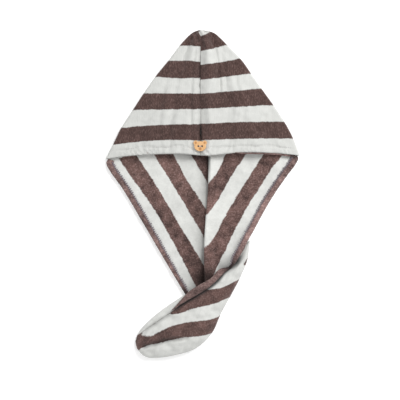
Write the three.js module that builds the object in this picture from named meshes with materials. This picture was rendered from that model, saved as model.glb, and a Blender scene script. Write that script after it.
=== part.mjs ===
// A hair turban towel lying open on a table, seen with its crown at +Y and its twisted tail at -Y.
// Two striped halves are sewn along the middle. They make a pocket for the head, whose front layer
// ends at a straight brim, and a back layer that narrows below the brim to the twist. The edges are
// folded in as hems. The right hem crosses over the left one and runs on along the rolled tail.
// A wooden button shaped as a bear's head sits on the brim, and an elastic loop under the tail's tip
// goes over it when the towel is worn. Millimetres, +Z up, the table at z = 0.
import * as THREE from "three";

// Sizes of the towel
const BRIM_WIDTH = 395;
const CROWN_DEPTH = 255;
const OPENING_DEPTH = 284;
const TAIL_DROP = 129;
const CLOTH = 3;
const SEAM_GAP = 0.4;

// How it lies
const FOLD_RADIUS = 6;
const CROWN_LOFT = 13;
const TAIL_THICKNESS = 36;
const THROAT_SHARE = 0.46;
const THROAT_TUCK = 9;
const HEM_LIFT = 3.5;
const SEAM_DIP = 4;

// Hems
const HEM_WIDTH = 12;
const HEM_THICKNESS = 3.2;
const HEM_INSET = 0.42;
const FIT_GAP = 0.35;

// Button and its thread
const BUTTON_WIDTH = 28;
const BUTTON_THICKNESS = 4;
const BUTTON_RISE = 19;
const EAR_RADIUS = 4.7;
const HOLE_RADIUS = 1.4;
const HOLE_SPACING = 7.4;
const THREAD_RADIUS = 0.8;

// Elastic loop
const LOOP_LENGTH = 46;
const LOOP_WIDTH = 15;
const ELASTIC = 2.4;

const HALF = BRIM_WIDTH / 2;

// Outline of the pocket. at runs from the brim to the tip as a share of CROWN_DEPTH, left and right
// are the reach of the folded sides as shares of half the brim's width.
const CROWN_ROWS = [
  { at: 0.0, left: 1.0, right: 1.0 },
  { at: 0.1, left: 0.912, right: 0.94 },
  { at: 0.22, left: 0.831, right: 0.865 },
  { at: 0.36, left: 0.71, right: 0.755 },
  { at: 0.5, left: 0.593, right: 0.628 },
  { at: 0.64, left: 0.465, right: 0.502 },
  { at: 0.76, left: 0.338, right: 0.391 },
  { at: 0.87, left: 0.229, right: 0.253 },
  { at: 0.94, left: 0.144, right: 0.165 },
  { at: 0.98, left: 0.082, right: 0.1 },
  { at: 1.0, left: 0.012, right: -0.008 },
];

// Seams of the pocket, as shares of half the brim's width from the middle.
const SEAM_ROWS = [
  { at: 0.0, front: -0.015, back: 0.063 },
  { at: 0.5, front: -0.022, back: 0.045 },
  { at: 1.0, front: -0.012, back: -0.012 },
];

// Rails of the back layer below the brim. x is a share of half the brim's width, y of OPENING_DEPTH.
const LEFT_RAIL = [
  { at: 0.0, x: -1.0, y: 0.0 },
  { at: 0.1, x: -0.97, y: 0.1 },
  { at: 0.25, x: -0.83, y: 0.24 },
  { at: 0.5, x: -0.605, y: 0.5 },
  { at: 0.75, x: -0.39, y: 0.755 },
  { at: 1.0, x: -0.165, y: 1.01 },
];
const RIGHT_RAIL = [
  { at: 0.0, x: 1.0, y: 0.0 },
  { at: 0.1, x: 0.975, y: 0.065 },
  { at: 0.25, x: 0.865, y: 0.155 },
  { at: 0.5, x: 0.69, y: 0.33 },
  { at: 0.75, x: 0.545, y: 0.51 },
  { at: 1.0, x: 0.452, y: 0.622 },
];
const SEAM_RAIL = [
  { at: 0.0, x: 0.063, y: 0.0 },
  { at: 0.25, x: 0.062, y: 0.24 },
  { at: 0.5, x: 0.04, y: 0.47 },
  { at: 0.75, x: 0.026, y: 0.7 },
  { at: 1.0, x: 0.036, y: 0.925 },
];

// Waves of the brim's edge, as shares of CROWN_DEPTH against the place across the brim.
const BRIM_WAVE = [
  { at: -1.0, drop: 0.03 },
  { at: -0.65, drop: 0.003 },
  { at: -0.25, drop: -0.006 },
  { at: 0.05, drop: 0.008 },
  { at: 0.4, drop: -0.018 },
  { at: 0.72, drop: -0.014 },
  { at: 1.0, drop: 0.004 },
];

// Soft folds of the front layer. tip and brim are places across as shares of the half's width there,
// from the seam out; rise and spread are shares of CROWN_LOFT and of half the brim's width.
const CROWN_FOLDS = [
  { side: -1, tip: 0.12, brim: 0.07, rise: 0.12, spread: 0.035 },
  { side: -1, tip: 0.55, brim: 0.33, rise: -0.16, spread: 0.05 },
  { side: -1, tip: 0.3, brim: 0.62, rise: 0.14, spread: 0.08 },
  { side: 1, tip: 0.35, brim: 0.1, rise: 0.2, spread: 0.05 },
  { side: 1, tip: 0.62, brim: 0.24, rise: -0.2, spread: 0.045 },
  { side: 1, tip: 0.45, brim: 0.6, rise: 0.12, spread: 0.08 },
];

// Sections of the rolled tail, from the throat to the tip. inX and inY are on the side of the left
// hem, outX and outY on the far side: x as a share of half the brim's width, y as a share of
// OPENING_DEPTH + TAIL_DROP down from the brim. high is a share of TAIL_THICKNESS. Going round from
// the inner side over the top, the cloth starts at the angle edge and ends at the angle end.
const TAIL_ROWS = [
  { at: 0.0, inX: 0.378, inY: 0.488, outX: 0.49, outY: 0.445, high: 0.74, edge: 62, end: 262 },
  { at: 0.1, inX: 0.27, inY: 0.53, outX: 0.474, outY: 0.512, high: 0.86, edge: 56, end: 285 },
  { at: 0.22, inX: 0.125, inY: 0.595, outX: 0.412, outY: 0.592, high: 0.97, edge: 48, end: 296 },
  { at: 0.34, inX: -0.06, inY: 0.665, outX: 0.315, outY: 0.682, high: 1.0, edge: 44, end: 318 },
  { at: 0.46, inX: -0.2, inY: 0.705, outX: 0.205, outY: 0.778, high: 1.0, edge: 46, end: 372 },
  { at: 0.6, inX: -0.355, inY: 0.755, outX: 0.1, outY: 0.88, high: 0.95, edge: 50, end: 400 },
  { at: 0.72, inX: -0.47, inY: 0.797, outX: -0.08, outY: 0.955, high: 0.86, edge: 50, end: 403 },
  { at: 0.83, inX: -0.56, inY: 0.835, outX: -0.33, outY: 0.99, high: 0.74, edge: 50, end: 403 },
  { at: 0.92, inX: -0.637, inY: 0.87, outX: -0.52, outY: 1.0, high: 0.6, edge: 50, end: 403 },
  { at: 0.97, inX: -0.68, inY: 0.905, outX: -0.63, outY: 0.975, high: 0.44, edge: 50, end: 403 },
  { at: 1.0, inX: -0.698, inY: 0.935, outX: -0.692, outY: 0.945, high: 0.2, edge: 50, end: 403 },
];

// Joins, roundness and bumps
const TIP_START = 0.86;
const LIFT_START = 0.68;
const CREASE_DEPTH = 0.2;
const CREASE_ANGLE = 34;
const TOP_ROUNDNESS = 0.82;
const BASE_ROUNDNESS = 0.3;
const BELLY_SHARE = 0.36;

// Fineness of the cloth's grids
const FRONT_COLUMNS = 12;
const FOLD_COLUMNS = 6;
const BACK_COLUMNS = 9;
const PANEL_STEPS = 16;
const TAIL_STEPS = 26;
const TAIL_COLUMNS = 26;
const HEM_STEPS = 34;

const deg = THREE.MathUtils.degToRad;
const mix = THREE.MathUtils.lerp;
const ease = (x) => THREE.MathUtils.smoothstep(x, 0, 1);
const bell = (x, spread) => Math.exp(-((x / spread) ** 2));

// A column of a table at a place between its rows, on a smooth curve through them.
function sample(rows, column, at) {
  const last = rows.length - 1;
  const x = THREE.MathUtils.clamp(at, rows[0].at, rows[last].at);
  let i = 0;
  while (i < last - 1 && rows[i + 1].at < x) i += 1;
  const [a, b] = [rows[i], rows[i + 1]];
  const slope = (p, q) => (q[column] - p[column]) / (q.at - p.at);
  const own = slope(a, b);
  const limit = (s) => (s * own <= 0 ? 0 : Math.sign(own) * Math.min(Math.abs(s), 3 * Math.abs(own)));
  const before = i > 0 ? limit(slope(rows[i - 1], b)) : own;
  const after = i < last - 1 ? limit(slope(a, rows[i + 2])) : own;
  const h = b.at - a.at;
  const u = (x - a.at) / h;
  return (
    a[column] * (1 + 2 * u) * (1 - u) ** 2 +
    b[column] * u * u * (3 - 2 * u) +
    h * before * u * (1 - u) ** 2 -
    h * after * u * u * (1 - u)
  );
}

// A sheet of cloth: its outer face as points and triangles, made into a wall of a given thickness.
class Sheet {
  constructor() {
    this.points = [];
    this.faces = [];
    this.seam = new Set();
  }

  add(point, onSeam = false) {
    this.points.push(point);
    if (onSeam) this.seam.add(this.points.length - 1);
    return this.points.length - 1;
  }

  // Joins two rows of point numbers with triangles, where either may have shrunk to one point.
  bridge(rowA, rowB) {
    for (let i = 0; i + 1 < Math.max(rowA.length, rowB.length); i += 1) {
      const [a, b] = rowA.length > 1 ? [rowA[i], rowA[i + 1]] : [rowA[0], rowA[0]];
      const [c, d] = rowB.length > 1 ? [rowB[i], rowB[i + 1]] : [rowB[0], rowB[0]];
      if (a !== b) this.faces.push([a, b, c]);
      if (c !== d) this.faces.push([b, d, c]);
    }
  }

  // The direction of the outer face at each point. Along a seam it stays in the seam's plane.
  normals() {
    const sums = this.points.map(() => new THREE.Vector3());
    for (const [a, b, c] of this.faces) {
      const [p, q, r] = [this.points[a], this.points[b], this.points[c]];
      const n = q.clone().sub(p).cross(r.clone().sub(p));
      for (const k of [a, b, c]) sums[k].add(n);
    }
    this.seam.forEach((k) => sums[k].setX(0));
    return sums.map((n) => n.normalize());
  }

  // A closed wall whose other face lies inwards by the thickness.
  wall(thickness) {
    const inward = this.normals();
    const inner = this.points.map((p, k) => p.clone().addScaledVector(inward[k], -thickness));
    const count = this.points.length;
    const faces = this.faces.flatMap(([a, b, c]) => [
      [a, b, c],
      [c + count, b + count, a + count],
    ]);
    const used = new Set();
    const edgeKey = (a, b) => `${a}_${b}`;
    for (const [a, b, c] of this.faces) {
      used.add(edgeKey(a, b)).add(edgeKey(b, c)).add(edgeKey(c, a));
    }
    for (const [a, b, c] of this.faces) {
      for (const [p, q] of [[a, b], [b, c], [c, a]]) {
        if (used.has(edgeKey(q, p))) continue;
        faces.push([q, p, p + count], [q, p + count, q + count]);
      }
    }
    return solidGeometry([...this.points, ...inner], faces);
  }
}

// A geometry from points and triangles, turned to face outwards.
function solidGeometry(points, faces) {
  let volume = 0;
  for (const [a, b, c] of faces) {
    volume += points[a].dot(points[b].clone().cross(points[c]));
  }
  const outward = volume > 0 ? faces : faces.map(([a, b, c]) => [c, b, a]);
  const geometry = new THREE.BufferGeometry();
  geometry.setAttribute("position", new THREE.Float32BufferAttribute(points.flatMap((p) => p.toArray()), 3));
  geometry.setIndex(outward.flat());
  geometry.computeVertexNormals();
  return geometry;
}

// A rounded strip swept along a path: an oval section that is wide across and thick upwards.
function strip(path, across, width, thickness, ends = 0.35) {
  const sides = 10;
  const points = [];
  const faces = [];
  path.forEach((p, i) => {
    const share = i / (path.length - 1);
    const round = mix(ends, 1, Math.min(1, Math.min(share, 1 - share) * 12));
    for (let k = 0; k < sides; k += 1) {
      const angle = (k / sides) * 2 * Math.PI;
      const flat = Math.sign(Math.cos(angle)) * Math.abs(Math.cos(angle)) ** 0.6;
      const tall = Math.sign(Math.sin(angle)) * Math.abs(Math.sin(angle)) ** 0.6;
      points.push(
        p.clone()
          .addScaledVector(across[i], (flat * width(share) * round) / 2)
          .add(new THREE.Vector3(0, 0, (tall * thickness * round) / 2)),
      );
    }
  });
  for (let i = 0; i + 1 < path.length; i += 1) {
    for (let k = 0; k < sides; k += 1) {
      const [a, b] = [i * sides + k, i * sides + ((k + 1) % sides)];
      faces.push([a, b, a + sides], [b, b + sides, a + sides]);
    }
  }
  const end = (path.length - 1) * sides;
  for (let k = 1; k + 1 < sides; k += 1) {
    faces.push([0, k + 1, k], [end, end + k, end + k + 1]);
  }
  return solidGeometry(points, faces);
}

// Level directions square to a path, pointing to its left.
function levelSides(path) {
  return path.map((_, i) => {
    const a = path[Math.max(0, i - 1)];
    const b = path[Math.min(path.length - 1, i + 1)];
    return new THREE.Vector3(a.y - b.y, b.x - a.x, 0).normalize();
  });
}

const brimWave = (x) => -CROWN_DEPTH * sample(BRIM_WAVE, "drop", x / HALF);

// How much of the full height and fold is left at a place up the crown: a quarter round at the tip.
function tipRound(at) {
  const s = THREE.MathUtils.clamp((at - TIP_START) / (1 - TIP_START), 0, 1);
  return Math.sqrt(1 - s * s);
}

// Height of the front layer's outer face. out runs from 0 at the fold to 1 at the seam.
function frontHeight(side, at, out, x) {
  const seamX = HALF * sample(SEAM_ROWS, "front", at);
  const edgeX = side * HALF * sample(CROWN_ROWS, side < 0 ? "left" : "right", at);
  const loft = CROWN_LOFT * Math.sin((Math.PI / 2) * out) ** 1.2 * mix(1, 0.72, ease(at * 1.6));
  const dip = SEAM_DIP * bell(x - seamX, 0.045 * HALF) * mix(1, 1.25, at);
  let folds = 0;
  for (const fold of CROWN_FOLDS) {
    if (fold.side !== side) continue;
    const place = mix(seamX, edgeX, mix(fold.brim, fold.tip, at));
    folds += fold.rise * CROWN_LOFT * bell(x - place, fold.spread * HALF) * Math.min(1, out * 3);
  }
  const base = 2 * FOLD_RADIUS + loft - dip + folds;
  return mix(FOLD_RADIUS, base, tipRound(at));
}

// One row of the pocket's half, from the front seam out over the fold and back to the back seam.
function pocketRow(side, at) {
  const shrink = tipRound(at);
  const radius = FOLD_RADIUS * Math.max(shrink, 0.05);
  const edgeX = side * HALF * sample(CROWN_ROWS, side < 0 ? "left" : "right", at);
  const frontSeam = HALF * sample(SEAM_ROWS, "front", at) + (side * SEAM_GAP) / 2;
  const backSeam = HALF * sample(SEAM_ROWS, "back", at) + (side * SEAM_GAP) / 2;
  const room = Math.min(radius, 0.45 * Math.abs(edgeX - frontSeam));
  const turnX = edgeX - side * room;
  const low = mix(FOLD_RADIUS, 0, shrink);
  const row = [];
  const put = (x, z, onSeam) => {
    const y = CROWN_DEPTH * at + brimWave(x) * (1 - at) ** 3;
    row.push({ point: new THREE.Vector3(x, y, z), onSeam });
  };
  for (let i = 0; i <= FRONT_COLUMNS; i += 1) {
    const out = 1 - i / FRONT_COLUMNS;
    const x = mix(turnX, frontSeam, out);
    put(x, frontHeight(side, at, out, x), i === 0);
  }
  const middle = (frontHeight(side, at, 0, turnX) + low) / 2;
  for (let i = 1; i < FOLD_COLUMNS; i += 1) {
    const angle = Math.PI * (i / FOLD_COLUMNS);
    put(turnX + side * room * Math.sin(angle), middle + (middle - low) * Math.cos(angle), false);
  }
  for (let i = 0; i <= BACK_COLUMNS; i += 1) {
    put(mix(turnX, backSeam, i / BACK_COLUMNS), low, i === BACK_COLUMNS);
  }
  return row;
}

// Height of the back layer's lower face below the brim. out is 0 at the hem and 1 at the seam.
function panelHeight(side, at, out) {
  const hem = HEM_LIFT * ease(at / 0.1) * bell(out, 0.22);
  const rise = THROAT_SHARE * TAIL_THICKNESS * ease((at - 0.62) / 0.38);
  const throat = side > 0 ? rise * (1 - ease(out / 0.92)) : 0;
  return hem + throat;
}

// One row of the back layer below the brim, from the hem to the seam.
function panelRow(side, at) {
  const rail = side < 0 ? LEFT_RAIL : RIGHT_RAIL;
  const corner = side * FOLD_RADIUS * (1 - ease(at / 0.1));
  const hem = new THREE.Vector2(HALF * sample(rail, "x", at) - corner, -OPENING_DEPTH * sample(rail, "y", at));
  const seam = new THREE.Vector2(
    HALF * sample(SEAM_RAIL, "x", at) + (side * SEAM_GAP) / 2,
    -OPENING_DEPTH * sample(SEAM_RAIL, "y", at),
  );
  const row = [];
  for (let i = 0; i <= BACK_COLUMNS; i += 1) {
    const out = i / BACK_COLUMNS;
    const x = mix(hem.x, seam.x, out);
    const tuck = side > 0 ? THROAT_TUCK * Math.sin(Math.PI * out) * ease((at - 0.7) / 0.3) : 0;
    const y = mix(hem.y, seam.y, out) + brimWave(x) * (1 - ease(at / 0.12)) - tuck;
    row.push({ point: new THREE.Vector3(x, y, panelHeight(side, at, out)), onSeam: i === BACK_COLUMNS });
  }
  return row;
}

// Places of the pocket's rows, closer together towards the rounded tip.
const POCKET_PLACES = [0, 0.05, 0.12, 0.21, 0.3, 0.39, 0.48, 0.57, 0.66, 0.74, 0.81, 0.87, 0.915, 0.95, 0.975, 0.99];

// One striped half of the towel: pocket front, fold, pocket back and the layer below the brim.
function half(side) {
  const sheet = new Sheet();
  const number = (row) => row.map(({ point, onSeam }) => sheet.add(point, onSeam));
  const tip = sheet.add(
    new THREE.Vector3(HALF * sample(SEAM_ROWS, "front", 1) + (side * SEAM_GAP) / 2, CROWN_DEPTH, FOLD_RADIUS),
    true,
  );
  let previous = [tip];
  let brimRow = null;
  for (const at of [...POCKET_PLACES].reverse()) {
    brimRow = number(pocketRow(side, at));
    sheet.bridge(previous, brimRow);
    previous = brimRow;
  }
  previous = brimRow.slice(-(BACK_COLUMNS + 1));
  for (let i = 1; i <= PANEL_STEPS; i += 1) {
    const row = number(panelRow(side, i / PANEL_STEPS));
    sheet.bridge(previous, row);
    previous = row;
  }
  if (side > 0) sheet.faces = sheet.faces.map(([a, b, c]) => [c, b, a]);
  return sheet.wall(CLOTH);
}

// A point on the tail's outer face. angle is 0 on the inner side, 90 on top and 180 on the far side.
function tailPoint(at, angle) {
  const drop = OPENING_DEPTH + TAIL_DROP;
  const inner = new THREE.Vector2(HALF * sample(TAIL_ROWS, "inX", at), -drop * sample(TAIL_ROWS, "inY", at));
  const outer = new THREE.Vector2(HALF * sample(TAIL_ROWS, "outX", at), -drop * sample(TAIL_ROWS, "outY", at));
  const height = TAIL_THICKNESS * sample(TAIL_ROWS, "high", at);
  const share = (1 - Math.cos(deg(angle))) / 2;
  const rise = Math.sin(deg(angle));
  const belly = BELLY_SHARE * height;
  const low = (ELASTIC + FIT_GAP) * ease((at - LIFT_START) / 0.1);
  const z = rise >= 0
    ? belly + (height - belly) * rise ** TOP_ROUNDNESS
    : belly - (belly - low) * Math.abs(rise) ** BASE_ROUNDNESS;
  const away = ((angle - sample(TAIL_ROWS, "edge", at) + 540) % 360) - 180;
  const crease = CREASE_DEPTH * height * bell(away, CREASE_ANGLE) * Math.max(0, rise);
  const plan = inner.clone().lerp(outer, share);
  return new THREE.Vector3(plan.x, plan.y, z - crease);
}

// The rolled tail: one sheet that goes round from the right hem to the left one, open at the throat.
function tail() {
  const sheet = new Sheet();
  let previous = [];
  for (let i = 0; i < TAIL_STEPS; i += 1) {
    const at = i / TAIL_STEPS;
    const [from, to] = [sample(TAIL_ROWS, "edge", at), sample(TAIL_ROWS, "end", at)];
    const row = [];
    for (let k = 0; k <= TAIL_COLUMNS; k += 1) {
      row.push(sheet.add(tailPoint(at, mix(to, from, k / TAIL_COLUMNS))));
    }
    if (previous.length) sheet.bridge(previous, row);
    previous = row;
  }
  const tip = tailPoint(1, 0).lerp(tailPoint(1, 180), 0.5);
  sheet.bridge(previous, [sheet.add(tip)]);
  return sheet.wall(CLOTH);
}

// Points along a hem that lies on the back layer's edge, between two places of its rail.
function edgePath(side, from, to, steps) {
  const edge = Array.from({ length: steps + 1 }, (_, i) => panelRow(side, mix(from, to, i / steps))[0].point);
  const inward = levelSides(edge);
  return edge.map((p, i) => {
    const [a, b] = [edge[Math.max(0, i - 1)], edge[Math.min(steps, i + 1)]];
    const climb = Math.hypot(1, (b.z - a.z) / Math.hypot(b.x - a.x, b.y - a.y));
    return p.clone()
      .addScaledVector(inward[i], -side * HEM_INSET * HEM_WIDTH)
      .setZ(p.z + CLOTH * climb + FIT_GAP * climb ** 8 + HEM_THICKNESS / 2);
  });
}

// The hem along the left edge of the back layer, from the corner to where the right hem crosses it.
function leftHem() {
  const path = edgePath(-1, 0.03, 0.97, HEM_STEPS);
  return strip(path, levelSides(path), () => HEM_WIDTH, HEM_THICKNESS);
}

// The hem along the right edge, which rises over the throat and runs on along the tail's edge.
function rightHem() {
  const guide = edgePath(1, 0.03, 0.97, 18);
  const lip = Array.from({ length: 9 }, (_, i) => mix(0.05, 0.47, i / 8))
    .map((at) => tailPoint(at, sample(TAIL_ROWS, "edge", at)));
  const sides = levelSides(lip);
  lip.forEach((p, i) => {
    guide.push(p.clone().addScaledVector(sides[i], -HEM_WIDTH / 2 - 2 * FIT_GAP));
  });
  const path = new THREE.CatmullRomCurve3(guide, false, "centripetal").getSpacedPoints(Math.round(HEM_STEPS * 1.4));
  const width = (share) => HEM_WIDTH * mix(1, 0.6, ease((share - 0.8) / 0.2));
  return strip(path, levelSides(path), width, HEM_THICKNESS);
}

// The hem's turned edge inside the brim, just behind the front layer's edge.
function brimHem() {
  const path = [];
  for (let i = 0; i <= HEM_STEPS; i += 1) {
    const x = HALF * mix(-0.93, 0.93, i / HEM_STEPS);
    const side = x < HALF * sample(SEAM_ROWS, "front", 0) ? -1 : 1;
    const seamX = HALF * sample(SEAM_ROWS, "front", 0);
    const turnX = side * (HALF - FOLD_RADIUS);
    const out = (x - turnX) / (seamX - turnX);
    const z = frontHeight(side, 0, out, x) - CLOTH - FIT_GAP - HEM_THICKNESS / 2 - 1.2;
    path.push(new THREE.Vector3(x, brimWave(x) + HEM_INSET * HEM_WIDTH, z));
  }
  return strip(path, levelSides(path), () => HEM_WIDTH, HEM_THICKNESS);
}

const buttonX = HALF * sample(SEAM_ROWS, "front", 0);

// Height of the front layer's facets at a place low on the crown.
function frontFacetHeight(x, y) {
  const side = x < HALF * sample(SEAM_ROWS, "front", 0) ? -1 : 1;
  const crossings = POCKET_PLACES.slice(0, 6).map((at) => {
    const row = pocketRow(side, at).map(({ point }) => point);
    let k = 0;
    while (k < FRONT_COLUMNS - 1 && side * row[k + 1].x < side * x) k += 1;
    return row[k].clone().lerp(row[k + 1], (x - row[k].x) / (row[k + 1].x - row[k].x));
  });
  let j = 0;
  while (j < crossings.length - 2 && crossings[j + 1].y < y) j += 1;
  const [a, b] = [crossings[j], crossings[j + 1]];
  return mix(a.z, b.z, (y - a.y) / (b.y - a.y));
}

// Highest point of the front layer under the button.
function buttonSeat() {
  let top = 0;
  for (let i = 0; i < 24; i += 1) {
    const angle = (i / 24) * 2 * Math.PI;
    for (const share of [0.2, 0.35, 0.46]) {
      const reach = share * BUTTON_WIDTH;
      const [x, y] = [buttonX + reach * Math.cos(angle), BUTTON_RISE + reach * Math.sin(angle)];
      top = Math.max(top, frontFacetHeight(x, y));
    }
  }
  return top;
}

// A flat wooden button shaped as a bear's head, with two sewing holes for eyes.
function button() {
  const face = BUTTON_WIDTH * 0.41;
  const earX = BUTTON_WIDTH / 2 - EAR_RADIUS;
  const earY = face * 0.62;
  const shape = new THREE.Shape();
  const around = 44;
  for (let i = 0; i < around; i += 1) {
    const angle = (i / around) * 2 * Math.PI;
    const ray = new THREE.Vector2(Math.cos(angle), Math.sin(angle));
    let reach = face;
    for (const side of [-1, 1]) {
      const ear = new THREE.Vector2(side * earX, earY);
      const along = ray.dot(ear);
      const off = ear.lengthSq() - along * along;
      if (along > 0 && off < EAR_RADIUS ** 2) reach = Math.max(reach, along + Math.sqrt(EAR_RADIUS ** 2 - off));
    }
    if (i === 0) shape.moveTo(ray.x * reach, ray.y * reach);
    else shape.lineTo(ray.x * reach, ray.y * reach);
  }
  for (const side of [-1, 1]) {
    const hole = new THREE.Path();
    hole.absarc((side * HOLE_SPACING) / 2, 0, HOLE_RADIUS, 0, 2 * Math.PI, true);
    shape.holes.push(hole);
  }
  const bevel = BUTTON_THICKNESS * 0.18;
  return new THREE.ExtrudeGeometry(shape, {
    depth: BUTTON_THICKNESS - 2 * bevel,
    bevelThickness: bevel,
    bevelSize: bevel,
    bevelOffset: -bevel,
    bevelSegments: 2,
    curveSegments: 7,
  }).translate(0, 0, bevel);
}

// The thread that goes up one hole, across the button's face and down the other.
function buttonThread(floorZ, topZ) {
  const [x, bend] = [HOLE_SPACING / 2, HOLE_SPACING / 5];
  const top = topZ + THREAD_RADIUS + FIT_GAP;
  const route = new THREE.CatmullRomCurve3(
    [[-x, floorZ], [-x, mix(floorZ, top, 0.5)], [-x, top - bend], [-x + bend, top], [x - bend, top], [x, top - bend],
      [x, mix(floorZ, top, 0.5)], [x, floorZ]].map(([px, pz]) => new THREE.Vector3(px, 0, pz)),
    false, "catmullrom", 0.3,
  );
  const section = new THREE.Shape();
  section.absarc(0, 0, THREAD_RADIUS, 0, 2 * Math.PI, false);
  return new THREE.ExtrudeGeometry(section, { steps: 30, curveSegments: 4, extrudePath: route });
}

// The elastic loop, folded back flat under the tail's tip.
function elasticLoop() {
  const route = new THREE.CatmullRomCurve3(
    [[0, -0.18], [0.5, -0.5], [0.85, -0.42], [1, 0], [0.85, 0.42], [0.5, 0.5], [0, 0.18]].map(
      ([along, aside]) => new THREE.Vector3(along * LOOP_LENGTH, aside * LOOP_WIDTH, 0),
    ),
  );
  const section = new THREE.Shape();
  section.absarc(0, 0, ELASTIC / 2, 0, 2 * Math.PI, false);
  return new THREE.ExtrudeGeometry(section, { steps: 36, curveSegments: 4, extrudePath: route });
}

const white = new THREE.MeshStandardMaterial({ color: 0xdfe0dc, roughness: 0.95, metalness: 0 });
const brown = new THREE.MeshStandardMaterial({ color: 0x68534f, roughness: 0.95, metalness: 0 });
const wood = new THREE.MeshStandardMaterial({ color: 0xe3b684, roughness: 0.5, metalness: 0 });
const threadWhite = new THREE.MeshStandardMaterial({ color: 0xeeeae0, roughness: 0.8, metalness: 0 });

const towel = new THREE.Group();

function place(name, geometry, material, x = 0, y = 0, z = 0) {
  const mesh = new THREE.Mesh(geometry, material);
  mesh.name = name;
  mesh.position.set(x, y, z);
  towel.add(mesh);
  return mesh;
}

place("left_half", half(-1), white);
place("right_half", half(1), white);
place("tail", tail(), white);
place("left_hem", leftHem(), brown);
place("right_hem", rightHem(), brown);
place("brim_hem", brimHem(), brown);

const buttonZ = buttonSeat() + FIT_GAP;
place("button", button(), wood, buttonX, BUTTON_RISE, buttonZ);
place("button_thread", buttonThread(-FIT_GAP / 2, BUTTON_THICKNESS), threadWhite, buttonX, BUTTON_RISE, buttonZ);

const loopRoot = tailPoint(0.97, 0).lerp(tailPoint(0.97, 180), 0.5);
const loopAim = tailPoint(0.8, 0).lerp(tailPoint(0.8, 180), 0.5).sub(loopRoot);
const loop = place("elastic_loop", elasticLoop(), threadWhite, loopRoot.x, loopRoot.y, ELASTIC / 2);
loop.rotation.z = Math.atan2(loopAim.y, loopAim.x);

// The origin is the middle of the towel's footprint on the table.
const size = new THREE.Box3().setFromObject(towel);
const centre = size.getCenter(new THREE.Vector3());
towel.position.set(-centre.x, -centre.y, -size.min.z);

export default towel;
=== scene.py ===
"""Looks of a striped fleece hair turban towel that lies flat, seen from straight above.

Two striped halves are sewn along the middle into a pointed pocket with a straight brim. Below the
brim the back layer narrows between two hems, and the far hem crosses over the near one to start the
rolled tail. A wooden button shaped as a bear's head sits on the brim, and an elastic loop lies under
the tail's tip. Shapes are worked out in millimetres on the towel's own plan, whose x is 0 in the
middle of the brim and whose y is 0 on the brim's line, and are written in metres in the row's frame.
"""

import logging
import math
from dataclasses import dataclass, field
from enum import Enum

import bpy
import numpy as np
from mathutils import Matrix, Vector


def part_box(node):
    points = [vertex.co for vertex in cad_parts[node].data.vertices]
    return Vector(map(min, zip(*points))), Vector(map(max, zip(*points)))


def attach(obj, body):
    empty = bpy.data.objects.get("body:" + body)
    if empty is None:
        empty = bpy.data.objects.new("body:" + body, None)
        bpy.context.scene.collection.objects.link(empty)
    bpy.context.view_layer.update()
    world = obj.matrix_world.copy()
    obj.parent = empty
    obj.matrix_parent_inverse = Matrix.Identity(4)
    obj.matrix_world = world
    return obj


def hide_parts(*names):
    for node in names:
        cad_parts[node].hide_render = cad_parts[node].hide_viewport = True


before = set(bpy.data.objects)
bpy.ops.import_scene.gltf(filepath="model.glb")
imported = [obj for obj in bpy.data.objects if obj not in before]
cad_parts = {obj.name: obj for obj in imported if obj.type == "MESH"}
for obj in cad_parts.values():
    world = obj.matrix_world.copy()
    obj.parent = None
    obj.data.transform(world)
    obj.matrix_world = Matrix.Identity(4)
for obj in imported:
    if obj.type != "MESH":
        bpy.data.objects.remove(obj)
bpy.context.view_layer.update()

Array = np.ndarray
# A colour, a place or a direction
Triple = tuple[float, float, float]
Socket = bpy.types.NodeSocket
LOG = logging.getLogger("towel")

# Metres per millimetre: shapes are worked out in millimetres, and the row's frame is in metres
MM = 0.001
# Sizes of the towel, in millimetres, as in the part's source
HALF = 197.5
CROWN_DEPTH = 255.0
OPENING_DEPTH = 284.0
TAIL_DROP = 129.0
CLOTH = 2.8
FOLD_RADIUS = 6.0
CROWN_LOFT = 13.0
TAIL_THICKNESS = 36.0
STRIPE = 31.8
BUTTON_RISE = 19.0
# Where the crown's rounded tip starts and how long it is, as shares of the crown's depth
TIP_START, TIP_LENGTH = 0.86, 0.14
# The seam of the back layer. The right half's cloth turns down into it at a share of the way across,
# from a raised ridge to a foot that stays above the table, and the left half's reaches in under it
WALL_START, WALL_LENGTH = 0.92, 0.08
WALL_FOOT = 1.8 * CLOTH
RIDGE_SPREAD = 18.0
SEAM_LAP = 2.6
# How far down its rails the back layer goes on, under the tail
PANEL_END = 1.03
# The middle height of a hem's section
HEM_MIDDLE = 3.4
# The most painted shade, which darkens a cloth's colour where it lies in a fold: at 1 it is painted as lying deep,
# and more than 1 paints a closed crevice near black
MOST_PAINTED_SHADE = 1.25
# The camera's height over the table, its place over the towel's plan, and how much smaller than the
# plan it sees the table
CAMERA_HEIGHT = 2270.0
CAMERA_PLACE = (-5.1, -91.6)
TABLE_SEEN = 0.9973
PLAN_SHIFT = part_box("left_half")[1].y * 1000 - CROWN_DEPTH
UP = np.array((0.0, 0.0, 1.0))
TO_CROWN = np.array((0.0, 1.0, 0.0))


class Side(Enum):
    """The two sewn halves, by the sign of x that they lie on."""

    LEFT = -1
    RIGHT = 1


# ---- Smooth tables and plan curves


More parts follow.
